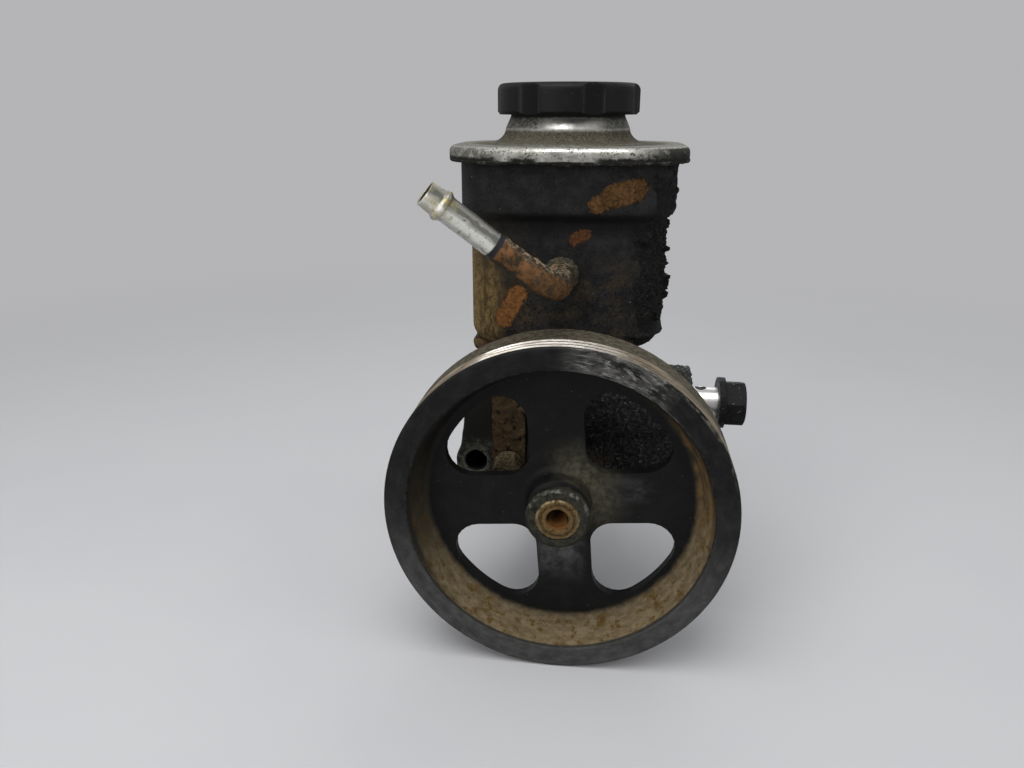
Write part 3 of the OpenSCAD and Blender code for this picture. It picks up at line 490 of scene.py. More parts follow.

# A dark lumpy fill closes the ear's bore a little way in: painted shade for the dark deep inside the bore.
plug_rings, plug_steps = 9, 40
plug_radius, plug_front, plug_back = 5.15 * mm, 5 * mm, 8 * mm
plug_dip, plug_lump, lump_size = 1 * mm, 1.2 * mm, 1.6 * mm
plug_points = [ear_bore + Vector((0, plug_front - plug_dip, 0))]
for ring in range(1, plug_rings + 2):
    for k in range(plug_steps):
        turn = 2 * math.pi * k / plug_steps
        reach = plug_radius * min(ring, plug_rings) / plug_rings
        spot = Vector((reach * math.cos(turn), plug_front, reach * math.sin(turn)))
        if ring <= plug_rings:
            spot.y += plug_lump * noise.noise(spot / lump_size) - plug_dip * (1 - ring / plug_rings)
        else:
            spot.y = plug_back
        plug_points.append(ear_bore + spot)
plug_points.append(ear_bore + Vector((0, plug_back, 0)))
last_ring = 1 + plug_rings * plug_steps
plug_faces = []
for k in range(plug_steps):
    after = (k + 1) % plug_steps
    plug_faces.append((0, 1 + k, 1 + after))
    for ring in range(plug_rings):
        a, b = 1 + ring * plug_steps + k, 1 + ring * plug_steps + after
        plug_faces.append((a, a + plug_steps, b + plug_steps, b))
    plug_faces.append((len(plug_points) - 1, last_ring + after, last_ring + k))
plug = add_mesh("ear_bore_shade_fill", plug_points, plug_faces)
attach(plug, "pump")
bore_shade_fill = Finish("bore_shade_fill", (0.006, 0.006, 0.005), 0.95, gloss=0.05)
bore_shade_fill.mottle((1.2, 0.5, 0.7), (0.014, 0.012, 0.009), 0.95)
bore_shade_fill.pits(0.5, 0.2)
bore_shade_fill.lay_on(plug)


# Inside run a rubber shaft seal in a pressed case, a ball bearing with a brass cage, its spring ring,
# and the ground steel vane set between its thrust plate and pressure plate. They are pressed or laid in.
def ground_steel(name, colour, roughness, scratch):
    steel = Finish(name, colour, roughness, 1.0)
    streaks = steel.grain(scratch, 3, stretch=(1, 14, 1))
    steel.coat(streaks, tuple(0.72 * c for c in colour), roughness + 0.12)
    steel.mottle((6, 0.58, 0.72, 2.2), (0.05, 0.032, 0.014), 0.3, 0.4)
    steel.bump(streaks, 0.02)
    return steel


def moulded_rubber(name, colour):
    rubber = Finish(name, colour, 0.55)
    rubber.mottle((3, 0.5, 0.75), tuple(1.8 * c for c in colour), 0.7)
    rubber.pits(0.3, 0.03, detail=3)
    return rubber


moulded_rubber("seal_rubber", (0.04, 0.022, 0.014)).lay_on(*solid("shaft_seal"))
moulded_rubber("black_rubber", (0.012, 0.012, 0.012)).lay_on(
    *solid("cover_o_ring", "inlet_o_ring", "cap_gasket"))
ground_steel("bearing_steel", (0.58, 0.58, 0.6), 0.16, 0.5).lay_on(
    *solid("bearing_outer_ring", "bearing_inner_ring", "bearing_balls"))
ground_steel("cage_brass", (0.62, 0.45, 0.18), 0.3, 0.8).lay_on(*solid("bearing_cage"))
spring_steel = ground_steel("spring_steel", (0.2, 0.2, 0.21), 0.35, 0.6)
spring_steel.lay_on(*solid("bearing_snap_ring", "plate_spring"))
ground_steel("cartridge_steel", (0.42, 0.42, 0.43), 0.28, 0.4).lay_on(
    *solid("thrust_plate", "cam_ring", "rotor", "vanes", "dowel_pins", "pressure_plate"))


# The rear cover is a smaller casting of the same iron, held by four flanged hexagon bolts whose zinc
# has gone dull and brown. It carries the shaft's rear journal in a blind bore.
cover_dirt = grimy_casting("cover_casting")
cover_dirt.mottle((7, 0.55, 0.75, 5.5), (0.05, 0.036, 0.022), 0.9)
cover_dirt.lay_on(*solid("rear_cover"), edge=0.8)
zinc = Finish("cover_bolt_zinc", (0.30, 0.29, 0.26), 0.45, 0.85)
zinc.mottle((3, 0.45, 0.65), (0.16, 0.12, 0.075), 0.65, 0.4)
zinc.mottle((1.4, 0.56, 0.66, 4.0), (0.10, 0.05, 0.02), 0.9, 0.0)
zinc.pits(0.5, 0.08, detail=4)
zinc.lay_on(*solid("cover_bolts"), edge=0.4)


# The flow valve's spool slides in the housing behind a steel union, and presses its coil spring together.
# The hollow outlet bolt is still screwed in: its hexagon head is blackened, and its shank, once covered
# by a hose eye, is bright zinc.
ground_steel("valve_steel", (0.5, 0.5, 0.5), 0.22, 0.3).lay_on(*solid("valve_spool", "outlet_union"))
valve_spring = frame["nodes"]["valve_spring"]
coil = bpy.data.objects.new("valve_spring_coil", valve_spring.data.copy())
bpy.context.scene.collection.objects.link(coil)
spring_steel.lay_on(coil)
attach(coil, valve_spring["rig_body"])
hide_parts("valve_spring")
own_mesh(coil)
head_depth = 12 * mm
flange_x = (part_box("banjo_bolt")[1].x - head_depth) / mm
outlet = Finish("outlet_bolt", (0.68, 0.68, 0.66), 0.28, 1.0, gloss=0.10)
outlet.mottle((1.2, 0.5, 0.75, 0.0, (4, 1, 1)), (0.52, 0.51, 0.48), 0.42)
outlet.mottle((2.2, 0.62, 0.72, 6.0), (0.14, 0.12, 0.085), 0.7, 0.3)
black_head = outlet.ragged(outlet.axis("X"), flange_x - 0.5, flange_x + 0.1, 1.5, 0.5)
head_tone = outlet.cloudy((1.6, 0.4, 0.7), (0.005, 0.005, 0.0053), (0.013, 0.013, 0.013))
outlet.coat(black_head, head_tone, 0.5, 0.0)
outlet.coat((black_head, outlet.specks(2.6, 0.13)), (0.14, 0.14, 0.13), 0.6)
outlet.pits(0.6, 0.06, detail=4)
outlet.lay_on(*solid("banjo_bolt"), edge=0.5)


# The reservoir is drawn from sheet steel and painted black. The paint has blistered off in three rust
# patches, road dust has baked on to the left corner, and oily dirt has built up into a crust on the right.
paint = Finish("reservoir_paint", (0.0090, 0.0090, 0.0090), 0.6, gloss=0.10)
paint.mottle((7, 0.4, 0.65), (0.0185, 0.0185, 0.0180), 0.7)
paint.mottle((0.9, 0.52, 0.70, 8.0), (0.0042, 0.0042, 0.0042), 0.8)
paint.mottle((0.7, 0.57, 0.70, 3.0), (0.031, 0.030, 0.027), 0.8)
paint.coat(paint.specks(6.5, 0.07), (0.085, 0.085, 0.08), 0.7)
can_height, can_across = paint.axis("Z"), paint.axis("X")
shadowed = paint.between(can_height, 111, 121, 4)
paint.coat((shadowed, 0.75), (0.0042, 0.0042, 0.0042), 0.7)
lower = paint.ramp(can_height, 108, 84)
lower_mud = paint.both(lower, paint.patches(7, 0.42, 0.66, 2.0))
paint.coat(lower_mud, (0.028, 0.022, 0.015), 0.85)
paint.mottle((1.6, 0.48, 0.70, 5.0), (0.055, 0.038, 0.021), 0.9, on=lower_mud)
paint.mottle((1.1, 0.54, 0.66, 1.0), (0.0035, 0.0035, 0.0035), 0.9, on=lower)
brown_side = paint.both(paint.ragged(can_across, -14, -30, 10, 8), paint.between(can_height, 84, 116, 8))
paint.mottle((4, 0.34, 0.66, 8.0), (0.026, 0.019, 0.010), 0.9, on=brown_side)
corner = paint.ragged(can_across, -26, -36, 10, 5)
dusty = paint.both(corner, paint.ragged(can_height, 112, 86, 12, 8, 3.0))
dust_tone = paint.cloudy((2.2, 0.36, 0.66, 1.0, (1, 1, 0.6)), (0.046, 0.031, 0.012), (0.132, 0.088, 0.035))
paint.coat(dusty, dust_tone, 0.92)
paint.mottle((0.8, 0.54, 0.66, 4.0), (0.024, 0.018, 0.009), 0.95, on=dusty)
left_edge = paint.both(paint.ragged(can_across, -38, -44, 5, 3, 6.0), paint.ramp(can_height, 122, 112))
paint.mottle((1.6, 0.4, 0.62, 6.0), (0.150, 0.104, 0.046), 0.95, on=left_edge)


def rust_patch(start, end, reach, bright, shift):
    """Rust along the line from start to end, in metres, reach wide each way, with a frayed edge."""
    along = Vector(end) - Vector(start)
    offset = paint.vector("SUBTRACT", paint.place, tuple(start))
    travel = paint.math("DIVIDE", paint.vector("DOT_PRODUCT", offset, tuple(along)), along.length_squared)
    travel = paint.math("MINIMUM", paint.math("MAXIMUM", travel, 0.0), 1.0)
    foot = paint.node("ShaderNodeVectorMath", operation="SCALE")
    paint.feed(foot.inputs[0], tuple(along))
    paint.feed(foot.inputs["Scale"], travel)
    away = paint.in_mm(paint.vector("LENGTH", paint.vector("SUBTRACT", offset, foot.outputs[0])))
    away = paint.frayed(away, 0.9, 2.3, shift)
    patch = paint.ragged(away, reach * 1.10, reach * 0.88, 3.4, reach * 0.50, shift)
    tone = paint.cloudy((1.3, 0.36, 0.64, shift), tuple(0.50 * c for c in bright), bright)
    paint.coat(patch, tone, 0.93)
    paint.mottle((0.7, 0.57, 0.68, shift + 2), tuple(0.30 * c for c in bright), 0.95, on=patch)
    paint.pits(0.8, 0.5, shift=shift, on=patch)


upper_front, lower_front = 40.8 * mm, 45 * mm
upper_rust = (0.108, 0.055, 0.021)
for x0, z0, x1, z1, y, reach, bright, shift in (
        (11.2, 124.3, 16.0, 127.0, upper_front, 3.5, upper_rust, 1.3),
        (17.0, 128.0, 29.0, 130.8, upper_front, 4.7, upper_rust, 1.3),
        (29.0, 128.6, 30.6, 132.8, upper_front, 3.4, upper_rust, 1.3),
        (2.0, 109.4, 6.6, 111.8, lower_front, 2.6, (0.094, 0.041, 0.018), 2.9),
        (-28.6, 74.0, -22.0, 85.6, lower_front, 4.2, (0.180, 0.078, 0.025), 4.7)):
    rust_patch((x0 * mm, y, z0 * mm), (x1 * mm, y, z1 * mm), reach, bright, shift)
paint.pits(0.8, 0.28, shift=9.0)
paint.lay_on(*solid("reservoir_body"))

crust_columns, crust_rows = 190, 122
crust_from, crust_to = -80, 75
crust_root, crust_sunk = 0.5 * mm, 0.25 * mm
crust_foot, crust_head = 1 * mm, 6 * mm
outside = 0.2
can_low, can_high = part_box("reservoir_body")
can_axis = (can_low + can_high) / 2
can_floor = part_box("reservoir_bracket")[1].z
can_wall = BVHTree.FromObject(frame["nodes"]["reservoir_body"], bpy.context.evaluated_depsgraph_get())


def crust_depth(point):
    """How far the crust stands off the can's wall; below 0 it is hidden in the wall."""
    ragged = 7 * mm * weathering(point, 11 * mm, 3)
    set_back = 8 * mm * step(point.z, 110 * mm, 122 * mm)
    heavy = step(point.x + ragged - set_back, 22 * mm, 40 * mm)
    low = step(point.z, 124 * mm, 106 * mm)
    torn = step(point.z + 3 * mm * noise.noise(point / (4 * mm)), 76 * mm, 71 * mm)
    lumps = 1.6 * mm * clods(point, 4.4 * mm) + 1.6 * mm * clods(point, 2.0 * mm)
    lumps += 2.6 * mm * step(noise.noise(point / (3.2 * mm)), 0.30, 0.62)
    spike = 2.4 * mm * math.exp(-((point.z - can_floor - 7.3 * mm) / (0.8 * mm)) ** 2)
    thick = (0.45 + 0.55 * low) * (1 - 0.75 * torn) * (lumps + 1.2 * mm) + torn * spike
    return heavy * thick - crust_sunk


outer, inner = [], []
for row in range(crust_rows):
    height = can_floor + crust_foot + (can_high.z - crust_head - can_floor) * row / (crust_rows - 1)
    for column in range(crust_columns):
        turn = math.radians(crust_from + (crust_to - crust_from) * column / (crust_columns - 1))
        outward = Vector((math.cos(turn), math.sin(turn), 0))
        start = Vector((can_axis.x, can_axis.y, height)) + outward * outside
        spot, normal, _, _ = can_wall.ray_cast(start, -outward)
        outer.append(spot + normal * crust_depth(spot))
        inner.append(spot - normal * crust_root)
crust_faces = []
layer = crust_rows * crust_columns
for row in range(crust_rows - 1):
    for column in range(crust_columns - 1):
        a = row * crust_columns + column
        quad = (a, a + 1, a + crust_columns + 1, a + crust_columns)
        crust_faces.append(quad)
        crust_faces.append(tuple(layer + i for i in reversed(quad)))
border = list(range(crust_columns))
border += [row * crust_columns + crust_columns - 1 for row in range(1, crust_rows)]
border += [(crust_rows - 1) * crust_columns + column for column in range(crust_columns - 2, -1, -1)]
border += [row * crust_columns for row in range(crust_rows - 2, 0, -1)]
for a, b in zip(border, border[1:] + border[:1]):
    crust_faces.append((b, a, layer + a, layer + b))
crust = add_mesh("reservoir_crust", outer + inner, crust_faces)
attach(crust, "pump")
baked_oil = Finish("baked_oil", (0.0055, 0.0055, 0.0055), 0.75, gloss=0.1)
baked_oil.mottle((3, 0.45, 0.68), (0.013, 0.012, 0.010), 0.9)
baked_oil.mottle((0.8, 0.57, 0.69, 3.0), (0.034, 0.032, 0.028), 0.8)
baked_oil.mottle((1.0, 0.54, 0.66, 7.0), (0.0028, 0.0028, 0.0028), 0.9)
baked_oil.coat(baked_oil.specks(2.2, 0.10), (0.08, 0.078, 0.072), 0.8)
baked_oil.pits(0.8, 0.5)
baked_oil.lay_on(crust)


# The lid is pressed from zinc-plated sheet, rolled over the seam all round and drawn up into the filler
# neck. Dust lies on the flare. The rolled edge is pitted, dull at both ends, and dirt hangs under its hem.
# A painted highlight runs along the top of the rolled edge, a painted shadow lies under the cap, and the
# dark bead under the hem is partly painted shade.
lid = Finish("stained_zinc", (0.55, 0.54, 0.505), 0.30, 1.0, gloss=0.1)
lid_low, lid_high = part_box("reservoir_lid")
lid_height = lid.math("SUBTRACT", lid.axis("Z"), lid_low.z / mm)
lid_across = lid.axis("X")
lid_middle = (lid_low + lid_high) / 2
lid_half = (lid_high.x - lid_low.x) / 2 / mm
oval = (lid_high.x - lid_low.x) / (lid_high.y - lid_low.y)
lid_radius = lid.reach((1, oval, 0), lid_middle)
lid.mottle((2.6, 0.42, 0.66), (0.40, 0.39, 0.36), 0.42)
flare_dust = lid.both(lid.ramp(lid_height, 6.3, 7.2), lid.ragged(lid_height, 14, 11.5, 4, 0.8))
flare_tone = lid.cloudy((1.2, 0.30, 0.72, 2.0), (0.045, 0.040, 0.027), (0.100, 0.092, 0.068))
lid.coat(flare_dust, flare_tone, 0.85, 0.15)
neck = lid.ramp(lid_height, 12.5, 13.5)
dull_neck = lid.math("MAXIMUM", lid.ragged(lid_across, -6, -17, 3, 3), lid.ragged(lid_across, 4, 16, 3, 3))
neck_tone = lid.cloudy((1.3, 0.34, 0.66, 3.0), (0.055, 0.053, 0.043), (0.19, 0.187, 0.17))
lid.coat((neck, dull_neck), neck_tone, 0.6, 0.5)
# A dark band on the neck just under the cap's skirt: painted shadow of the cap.
cap_foot = lid.math("SUBTRACT", lid.axis("Z"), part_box("filler_cap")[0].z / mm)
painted_cap_shadow = lid.both(lid.ragged(cap_foot, -1.8, -0.7, 3, 0.7), lid.ragged(cap_foot, 2.2, 0.8, 2, 0.6))
lid.coat(painted_cap_shadow, (0.022, 0.022, 0.020), 0.7, 0.2)
rolled = lid.ramp(lid_height, 6.4, 5.4)
lid.coat(lid.ramp(lid_height, 7.2, 6.6), (0.36, 0.355, 0.32), 0.50, 0.75)
lid.mottle((3.0, 0.42, 0.66, 5.0, (0.6, 0.6, 1)), (0.20, 0.197, 0.176), 0.62, 0.5, on=rolled)
lid.mottle((1.0, 0.58, 0.68, 9.0), (0.13, 0.127, 0.11), 0.75, 0.3, on=rolled)
dusty_top = lid.both(lid.ramp(lid.facing("Z"), 0.90, 0.985), lid.ramp(lid_height, 4.6, 5.2),
                     lid.ramp(lid_height, 9, 7))
lid.coat(dusty_top, lid.cloudy((2, 0.35, 0.65, 7.0), (0.050, 0.044, 0.030), (0.11, 0.10, 0.075)), 0.85, 0.1)
grey_top = lid.both(dusty_top, lid.ragged(lid_radius, lid_half - 12, lid_half - 6, 4, 3, 4.0))
lid.coat(grey_top, lid.cloudy((1.8, 0.35, 0.65, 2.0), (0.10, 0.097, 0.082), (0.21, 0.206, 0.185)), 0.7, 0.2)
# A brighter, smoother band along the top of the rolled edge: painted highlight.
painted_bend_highlight = lid.both(lid.between(lid_height, 4.9, 6.0, 0.4), lid.between(lid_across, -14, 22, 7))
lid.mottle((3, 0.66, 0.46, 8.0), (0.72, 0.71, 0.65), 0.32, 1.0, on=painted_bend_highlight)
dull_low = lid.ragged(lid_height, 4.2, 1.8, 3, 1.2, 2.0)
lid.mottle((4, 0.36, 0.6, 3.0), (0.22, 0.215, 0.19), 0.65, 0.4, on=dull_low)
left_end = lid.ragged(lid_across, -26, -38, 8, 6, 2.0)
lid.mottle((2.4, 0.30, 0.56, 4.0), (0.105, 0.102, 0.090), 0.65, 0.3, on=(left_end, rolled))
right_end = lid.ragged(lid_across, 20, 42, 9, 8, 3.0)
lid.mottle((3.4, 0.24, 0.44, 1.0), (0.026, 0.026, 0.022), 0.75, 0.1, on=(right_end, rolled))
smudge = lid.both(lid.ramp(lid_across, 22, 34), lid.ragged(lid_height, 4.4, 2.6, 3, 1.6, 6.0))
lid.mottle((4.5, 0.46, 0.58, 2.5), (0.016, 0.015, 0.013), 0.85, 0.0, on=smudge)
low_edge = lid.ragged(lid_height, 2.9, 1.6, 2.6, 1.7, 7.0)
stained = lid.math("MAXIMUM", lid.between(lid_across, -25, -14, 2),
                   lid.math("MAXIMUM", lid.ramp(lid_across, 6, 13), lid.ramp(lid_across, -28, -33)))
lid.coat((low_edge, stained), (0.010, 0.010, 0.009), 0.85, 0.0)
lid.coat(lid.ramp(lid_height, 0.7, 0.3), (0.012, 0.012, 0.011), 0.85, 0.0)
pitted = lid.both(lid.specks(1.0, 0.38), lid.patches(5, 0.38, 0.58, 1.0), lid.ramp(lid_height, 13, 11))
lid.coat(pitted, (0.028, 0.027, 0.023), 0.9, 0.0)
lid.coat((lid.specks(2.1, 0.2), lid.ramp(lid_height, 14, 12)), (0.030, 0.024, 0.016), 0.9, 0.0)
lid.pits(1.2, 0.18, on=rolled)
lid.pits(0.9, 0.05, shift=4.0)
lid.lay_on(*solid("reservoir_lid"))

# A lumpy dark bead hangs under the hem all round: dirt, and painted shade under the rolled edge.
hem_steps, hem_points = 300, []
hem_profile = ((-3.4, 0.7), (-3.0, -0.1), (-2.2, -0.25), (-1.0, -0.3),
               (-0.2, 0.0), (0.05, 0.6), (-0.6, 1.2), (-2.2, 1.2))
hem_level, caked_out, hang_share, hang_top = 1, 0.35, 1.1, 0.35
lid_wall = BVHTree.FromObject(frame["nodes"]["reservoir_lid"], bpy.context.evaluated_depsgraph_get())
for k in range(hem_steps):
    turn = 2 * math.pi * k / hem_steps
    inward = Vector((-math.cos(turn), -math.sin(turn), 0))
    start = Vector((lid_middle.x, lid_middle.y, lid_low.z + hem_level * mm)) - inward * outside
    edge_spot, outward, _, _ = lid_wall.ray_cast(start, inward)
    outward = Vector((outward.x, outward.y, 0)).normalized()
    for out, rise in hem_profile:
        spot = edge_spot + outward * out * mm
        spot.z = lid_low.z + rise * mm
        caked = step(noise.noise(spot / (9 * mm)) + 0.5 * noise.noise(spot / (2.4 * mm)), -0.45, 0.55)
        hang = caked * max(0, hang_top - rise) * hang_share * mm
        hem_points.append(spot - Vector((0, 0, hang)) + outward * caked * caked_out * mm)
hem = add_mesh("lid_hem_grime_and_shade", hem_points, ring_faces(hem_steps, len(hem_profile)))
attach(hem, "pump")
hem_grime_and_shade = Finish("hem_grime_and_shade", (0.014, 0.0135, 0.012), 0.9, gloss=0.1)
hem_grime_and_shade.mottle((3, 0.5, 0.66), (0.075, 0.072, 0.062), 0.85)
hem_grime_and_shade.mottle((1.2, 0.55, 0.68, 3.0), (0.032, 0.027, 0.018), 0.9)
hem_grime_and_shade.pits(0.7, 0.4)
hem_grime_and_shade.lay_on(hem)


# The filler cap is moulded in black plastic, with broad grips round its skirt and a dipstick clipped
# inside. It screws on to the neck over a rubber ring. Handling has dulled it and worn the grips' edges;
# painted shade darkens the grooves and a painted highlight lies along the grip edges.
cap = Finish("cap_plastic", (0.0055, 0.0055, 0.0058), 0.42, gloss=0.12)
cap.mottle((5, 0.45, 0.7), (0.0075, 0.0075, 0.0077), 0.52)
cap_low, cap_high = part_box("filler_cap")
cap_middle = (cap_low + cap_high) / 2
cap_half, cap_top = (cap_high.x - cap_low.x) / 2 / mm, cap_high.z / mm
cap_radius = cap.reach((1, 1, 0), cap_middle)
# Lighter along the edges of the grips: wear from handling and a painted highlight.
grip_edge_wear_and_highlight = cap.both(cap.between(cap_radius, cap_half - 0.80, cap_half - 0.45, 0.1),
                     cap.ramp(cap.axis("Z"), cap_top - 1.0, cap_top - 2.0))
cap.mottle((4, 0.30, 0.6, 2.0), (0.016, 0.016, 0.0165), 0.5, on=grip_edge_wear_and_highlight)
# Darker inward of the outer millimetre, down in the grooves between the grips: painted shade.
cap.coat(cap.ramp(cap_radius, cap_half - 0.8, cap_half - 1.2), (0.0035, 0.0035, 0.0037), 0.6)
handled = cap.ramp(cap.axis("Z"), cap_top - 1.8, cap_top - 0.5)
cap.mottle((2.5, 0.3, 0.62), (0.013, 0.013, 0.0128), 0.65, on=handled)
cap.coat(cap.specks(3.4, 0.06), (0.06, 0.06, 0.058), 0.7)
cap.pits(0.25, 0.02, detail=3)
cap.lay_on(*solid("filler_cap", "dipstick"), edge=0.35)


# The return tube is zinc-plated steel, bent once, with a rolled bead for the hose. Where the hose covered
# it the plating is bright and yellowish at the tip; the bare root has rusted. A brazed collar holds it.
tube_end = mounts["return_tube_end"]
tube_axis = Vector(tube_end["axis"])
tube_tip = Vector(tube_end["pos_m"]) + tube_axis * tube_end["dims"]["length_mm"] / 2 * mm
plated_length = 33


def tube_swell(point):
    """The tip widens towards its bead like a barb, and rust has swollen the tube behind the plating."""
    back = (tube_tip - point).dot(tube_axis)
    barb = -0.1 * mm + 0.3 * mm * step(back, 0, 6 * mm) - 0.2 * mm * step(back, 9 * mm, 11 * mm)
    rusted = step(back, plated_length * mm, (plated_length + 3) * mm)
    scale = 0.25 * mm * weathering(point, 3.5 * mm, 4) + 0.3 * mm
    elbow = 0.7 * mm * step(back, 42 * mm, 54 * mm)
    return barb * (1 - rusted) + rusted * (scale + elbow)


tube = weathered_copy("return_tube", "return_tube_plated", 0.42 * mm, 2)
roughen(tube, tube_swell)
plating = Finish("tube_plating", (0.44, 0.44, 0.405), 0.32, 1.0, gloss=0.1)
to_tip = plating.vector("SUBTRACT", tuple(tube_tip), plating.place)
back = plating.in_mm(plating.vector("DOT_PRODUCT", to_tip, tuple(tube_axis)))
plating.mottle((2.2, 0.45, 0.7), (0.34, 0.335, 0.305), 0.45)
# Bands follow how each face turns towards tube_below: a bright band along the lower side is a painted
# highlight, and a darker band along the upper side is painted shade.
tube_below = (-0.525, -0.344, -0.778)
tube_normal = plating.node("ShaderNodeNewGeometry").outputs["Normal"]
turned = plating.vector("DOT_PRODUCT", tube_normal, tube_below)
painted_light_facing = plating.frayed(turned, 4, 0.25, 2.0, detail=4)
plating.coat(plating.between(painted_light_facing, -0.52, -0.08, 0.12), (0.13, 0.13, 0.112), 0.45, 0.9)
plating.coat(plating.between(painted_light_facing, 0.12, 0.72, 0.14), (0.66, 0.66, 0.61), 0.5, 0.6)
yellow_end = plating.ragged(back, 15, 9, 5, 4)
plating.mottle((3.6, 0.40, 0.72, 6.0), (0.36, 0.305, 0.145), 0.45, on=yellow_end)
brown_tip = plating.ramp(back, 8, 5)
plating.mottle((2.4, 0.60, 0.70, 2.0), (0.30, 0.20, 0.06), 0.5, 0.6, on=brown_tip)
plating.mottle((2.6, 0.54, 0.66, 4.0), (0.15, 0.135, 0.10), 0.6, 0.5, on=plating.ramp(back, 4, 16))
plating.coat((plating.specks(1.6, 0.18), plating.ramp(back, 10, 16)), (0.06, 0.05, 0.035), 0.8, 0.2)
from_tip = plating.vector("SUBTRACT", plating.place, tuple(tube_tip))
across_tube = plating.vector("CROSS_PRODUCT", from_tip, tuple(tube_axis))
off_axis = plating.in_mm(plating.vector("LENGTH", across_tube))
# Darker just inside the tube's mouth.
dark_bore = plating.both(plating.ramp(off_axis, 4.5, 4.2), plating.ramp(back, 0.2, 0.8))
plating.coat(dark_bore, (0.03, 0.027, 0.02), 0.8, 0.2)
rusted = plating.ragged(back, plated_length - 0.5, plated_length + 0.5, 4, 0.7)
rust_tone = plating.cloudy((3.2, 0.36, 0.62, 2.0), (0.032, 0.022, 0.013), (0.150, 0.072, 0.030))
plating.coat(rusted, rust_tone, 0.88, 0.0)
root_rust = plating.both(rusted, plating.ragged(back, 44, 56, 5, 5, 1.0))
root_tone = plating.cloudy((2, 0.36, 0.64, 9.0), (0.052, 0.027, 0.012), (0.125, 0.066, 0.028))
plating.coat(root_rust, root_tone, 0.9)
plating.mottle((4.5, 0.54, 0.68, 3.0), (0.044, 0.036, 0.026), 0.8, on=rusted)
# On the rust, the sides facing farthest from and towards tube_below are darker: painted shade. Faces turned
# upward then get a lighter coat: painted highlight.
shaded_sides = plating.math("MAXIMUM", plating.ramp(painted_light_facing, -0.50, -0.72), plating.ramp(painted_light_facing, 0.70, 0.92))
plating.coat((rusted, shaded_sides), (0.026, 0.020, 0.013), 0.85)
painted_top_highlight = plating.both(rusted, plating.ramp(plating.facing("Z"), 0.35, 0.8))
plating.mottle((2.0, 0.46, 0.62, 7.0), (0.26, 0.200, 0.130), 0.6, 0.2, on=painted_top_highlight)
dark_band = plating.between(back, plated_length - 1.4, plated_length + 1.0, 0.4)
plating.coat(dark_band, (0.022, 0.022, 0.026), 0.6, 0.3)
plating.pits(0.9, 0.35, detail=6, on=rusted)
plating.lay_on(tube)

collar = weathered_copy("tube_collar", "tube_braze", 0.4 * mm, 3)
roughen(collar, lambda point: 0.7 * mm * weathering(point, 3 * mm, 3))
braze = Finish("old_braze", (0.030, 0.028, 0.018), 0.8, gloss=0.15)
braze.mottle((2.0, 0.45, 0.62), (0.066, 0.062, 0.044), 0.75)
braze.mottle((1.5, 0.55, 0.66, 3.0), (0.09, 0.042, 0.017), 0.9)
braze.pits(0.7, 0.3)
braze.lay_on(collar)


# The bracket is a bent strip of bare steel, bolted to the housing's face and turned in under the
# reservoir as a shelf. It and its two flanged bolts are brown with scaly rust, caked at the shelf's end.
def rust_relief(point):
    return 0.35 * mm * weathering(point, 3.2 * mm, 4) + 0.25 * mm * (clods(point, 4 * mm) - 0.4)


def bracket_relief(point):
    caked = step(point.x, -34 * mm, -40 * mm) * step(point.z, 50 * mm, 56 * mm)
    return rust_relief(point) + caked * (1.4 * mm + 0.8 * mm * noise.noise(point / (4 * mm)))


bracket = weathered_copy("reservoir_bracket", "rusted_bracket", 0.6 * mm, 2)
roughen(bracket, bracket_relief)
bolts = weathered_copy("bracket_bolts", "rusted_bolts", 0.4 * mm, 2)
roughen(bolts, lambda point: 0.6 * rust_relief(point))
scale = Finish("scaly_rust", (0.050, 0.037, 0.020), 0.9, gloss=0.1)
scale.mottle((4, 0.42, 0.62), (0.085, 0.058, 0.029), 0.95)
red_side = scale.ragged(scale.axis("X"), -22, -29, 6, 4)
scale.mottle((2.4, 0.40, 0.62, 1.0), (0.074, 0.040, 0.020), 0.95, on=red_side)
scale.mottle((1.6, 0.56, 0.64, 3.3), (0.115, 0.078, 0.040), 0.95)
scale.mottle((2.6, 0.52, 0.62, 6.1), (0.013, 0.011, 0.008), 0.85)
scale.pits(0.9, 0.4, detail=6)
scale.lay_on(bracket)
bolt_rust = Finish("bolt_rust", (0.066, 0.052, 0.031), 0.85, gloss=0.1)
bolt_rust.mottle((1.6, 0.42, 0.60), (0.135, 0.105, 0.062), 0.85)
bolt_rust.mottle((1.2, 0.54, 0.64, 5.0), (0.016, 0.012, 0.008), 0.9)
bolt_rust.pits(0.8, 0.25)
bolt_rust.lay_on(bolts)


# The pulley is turned and pierced steel, pressed on the shaft last. Its black paint is scuffed at the
# upper right, tan road dust fills the dish, and the belt has kept the ribs bright on the front of the rim.
pulley = Finish("pulley_paint", (0.0058, 0.0058, 0.0058), 0.45, gloss=0.10)
rim_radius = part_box("pulley")[1].x / mm
lip_radius, hub_radius, web_depth, belt_end = 65.2, 13.7, 22.5, 11.6
across, depth, up = (pulley.axis(letter) for letter in "XYZ")
radius = pulley.reach((1, 0, 1))
upward = pulley.math("DIVIDE", up, radius)
rightward = pulley.math("DIVIDE", across, radius)
unroll_radius = 70
round_rim = pulley.both(pulley.math("ARCTAN2", up, across), unroll_radius)
unrolled = pulley.node("ShaderNodeCombineXYZ")
for socket, length in zip(unrolled.inputs, (round_rim, radius, depth)):
    pulley.feed(socket, pulley.both(length, mm))
along_rim = unrolled.outputs[0]
pulley.mottle((8, 0.42, 0.68), (0.0085, 0.0085, 0.0082), 0.55)
pulley.mottle((0.9, 0.56, 0.72, 3.0), (0.013, 0.013, 0.0125), 0.65)
pulley.coat(pulley.specks(5.2, 0.05), (0.07, 0.07, 0.066), 0.6)

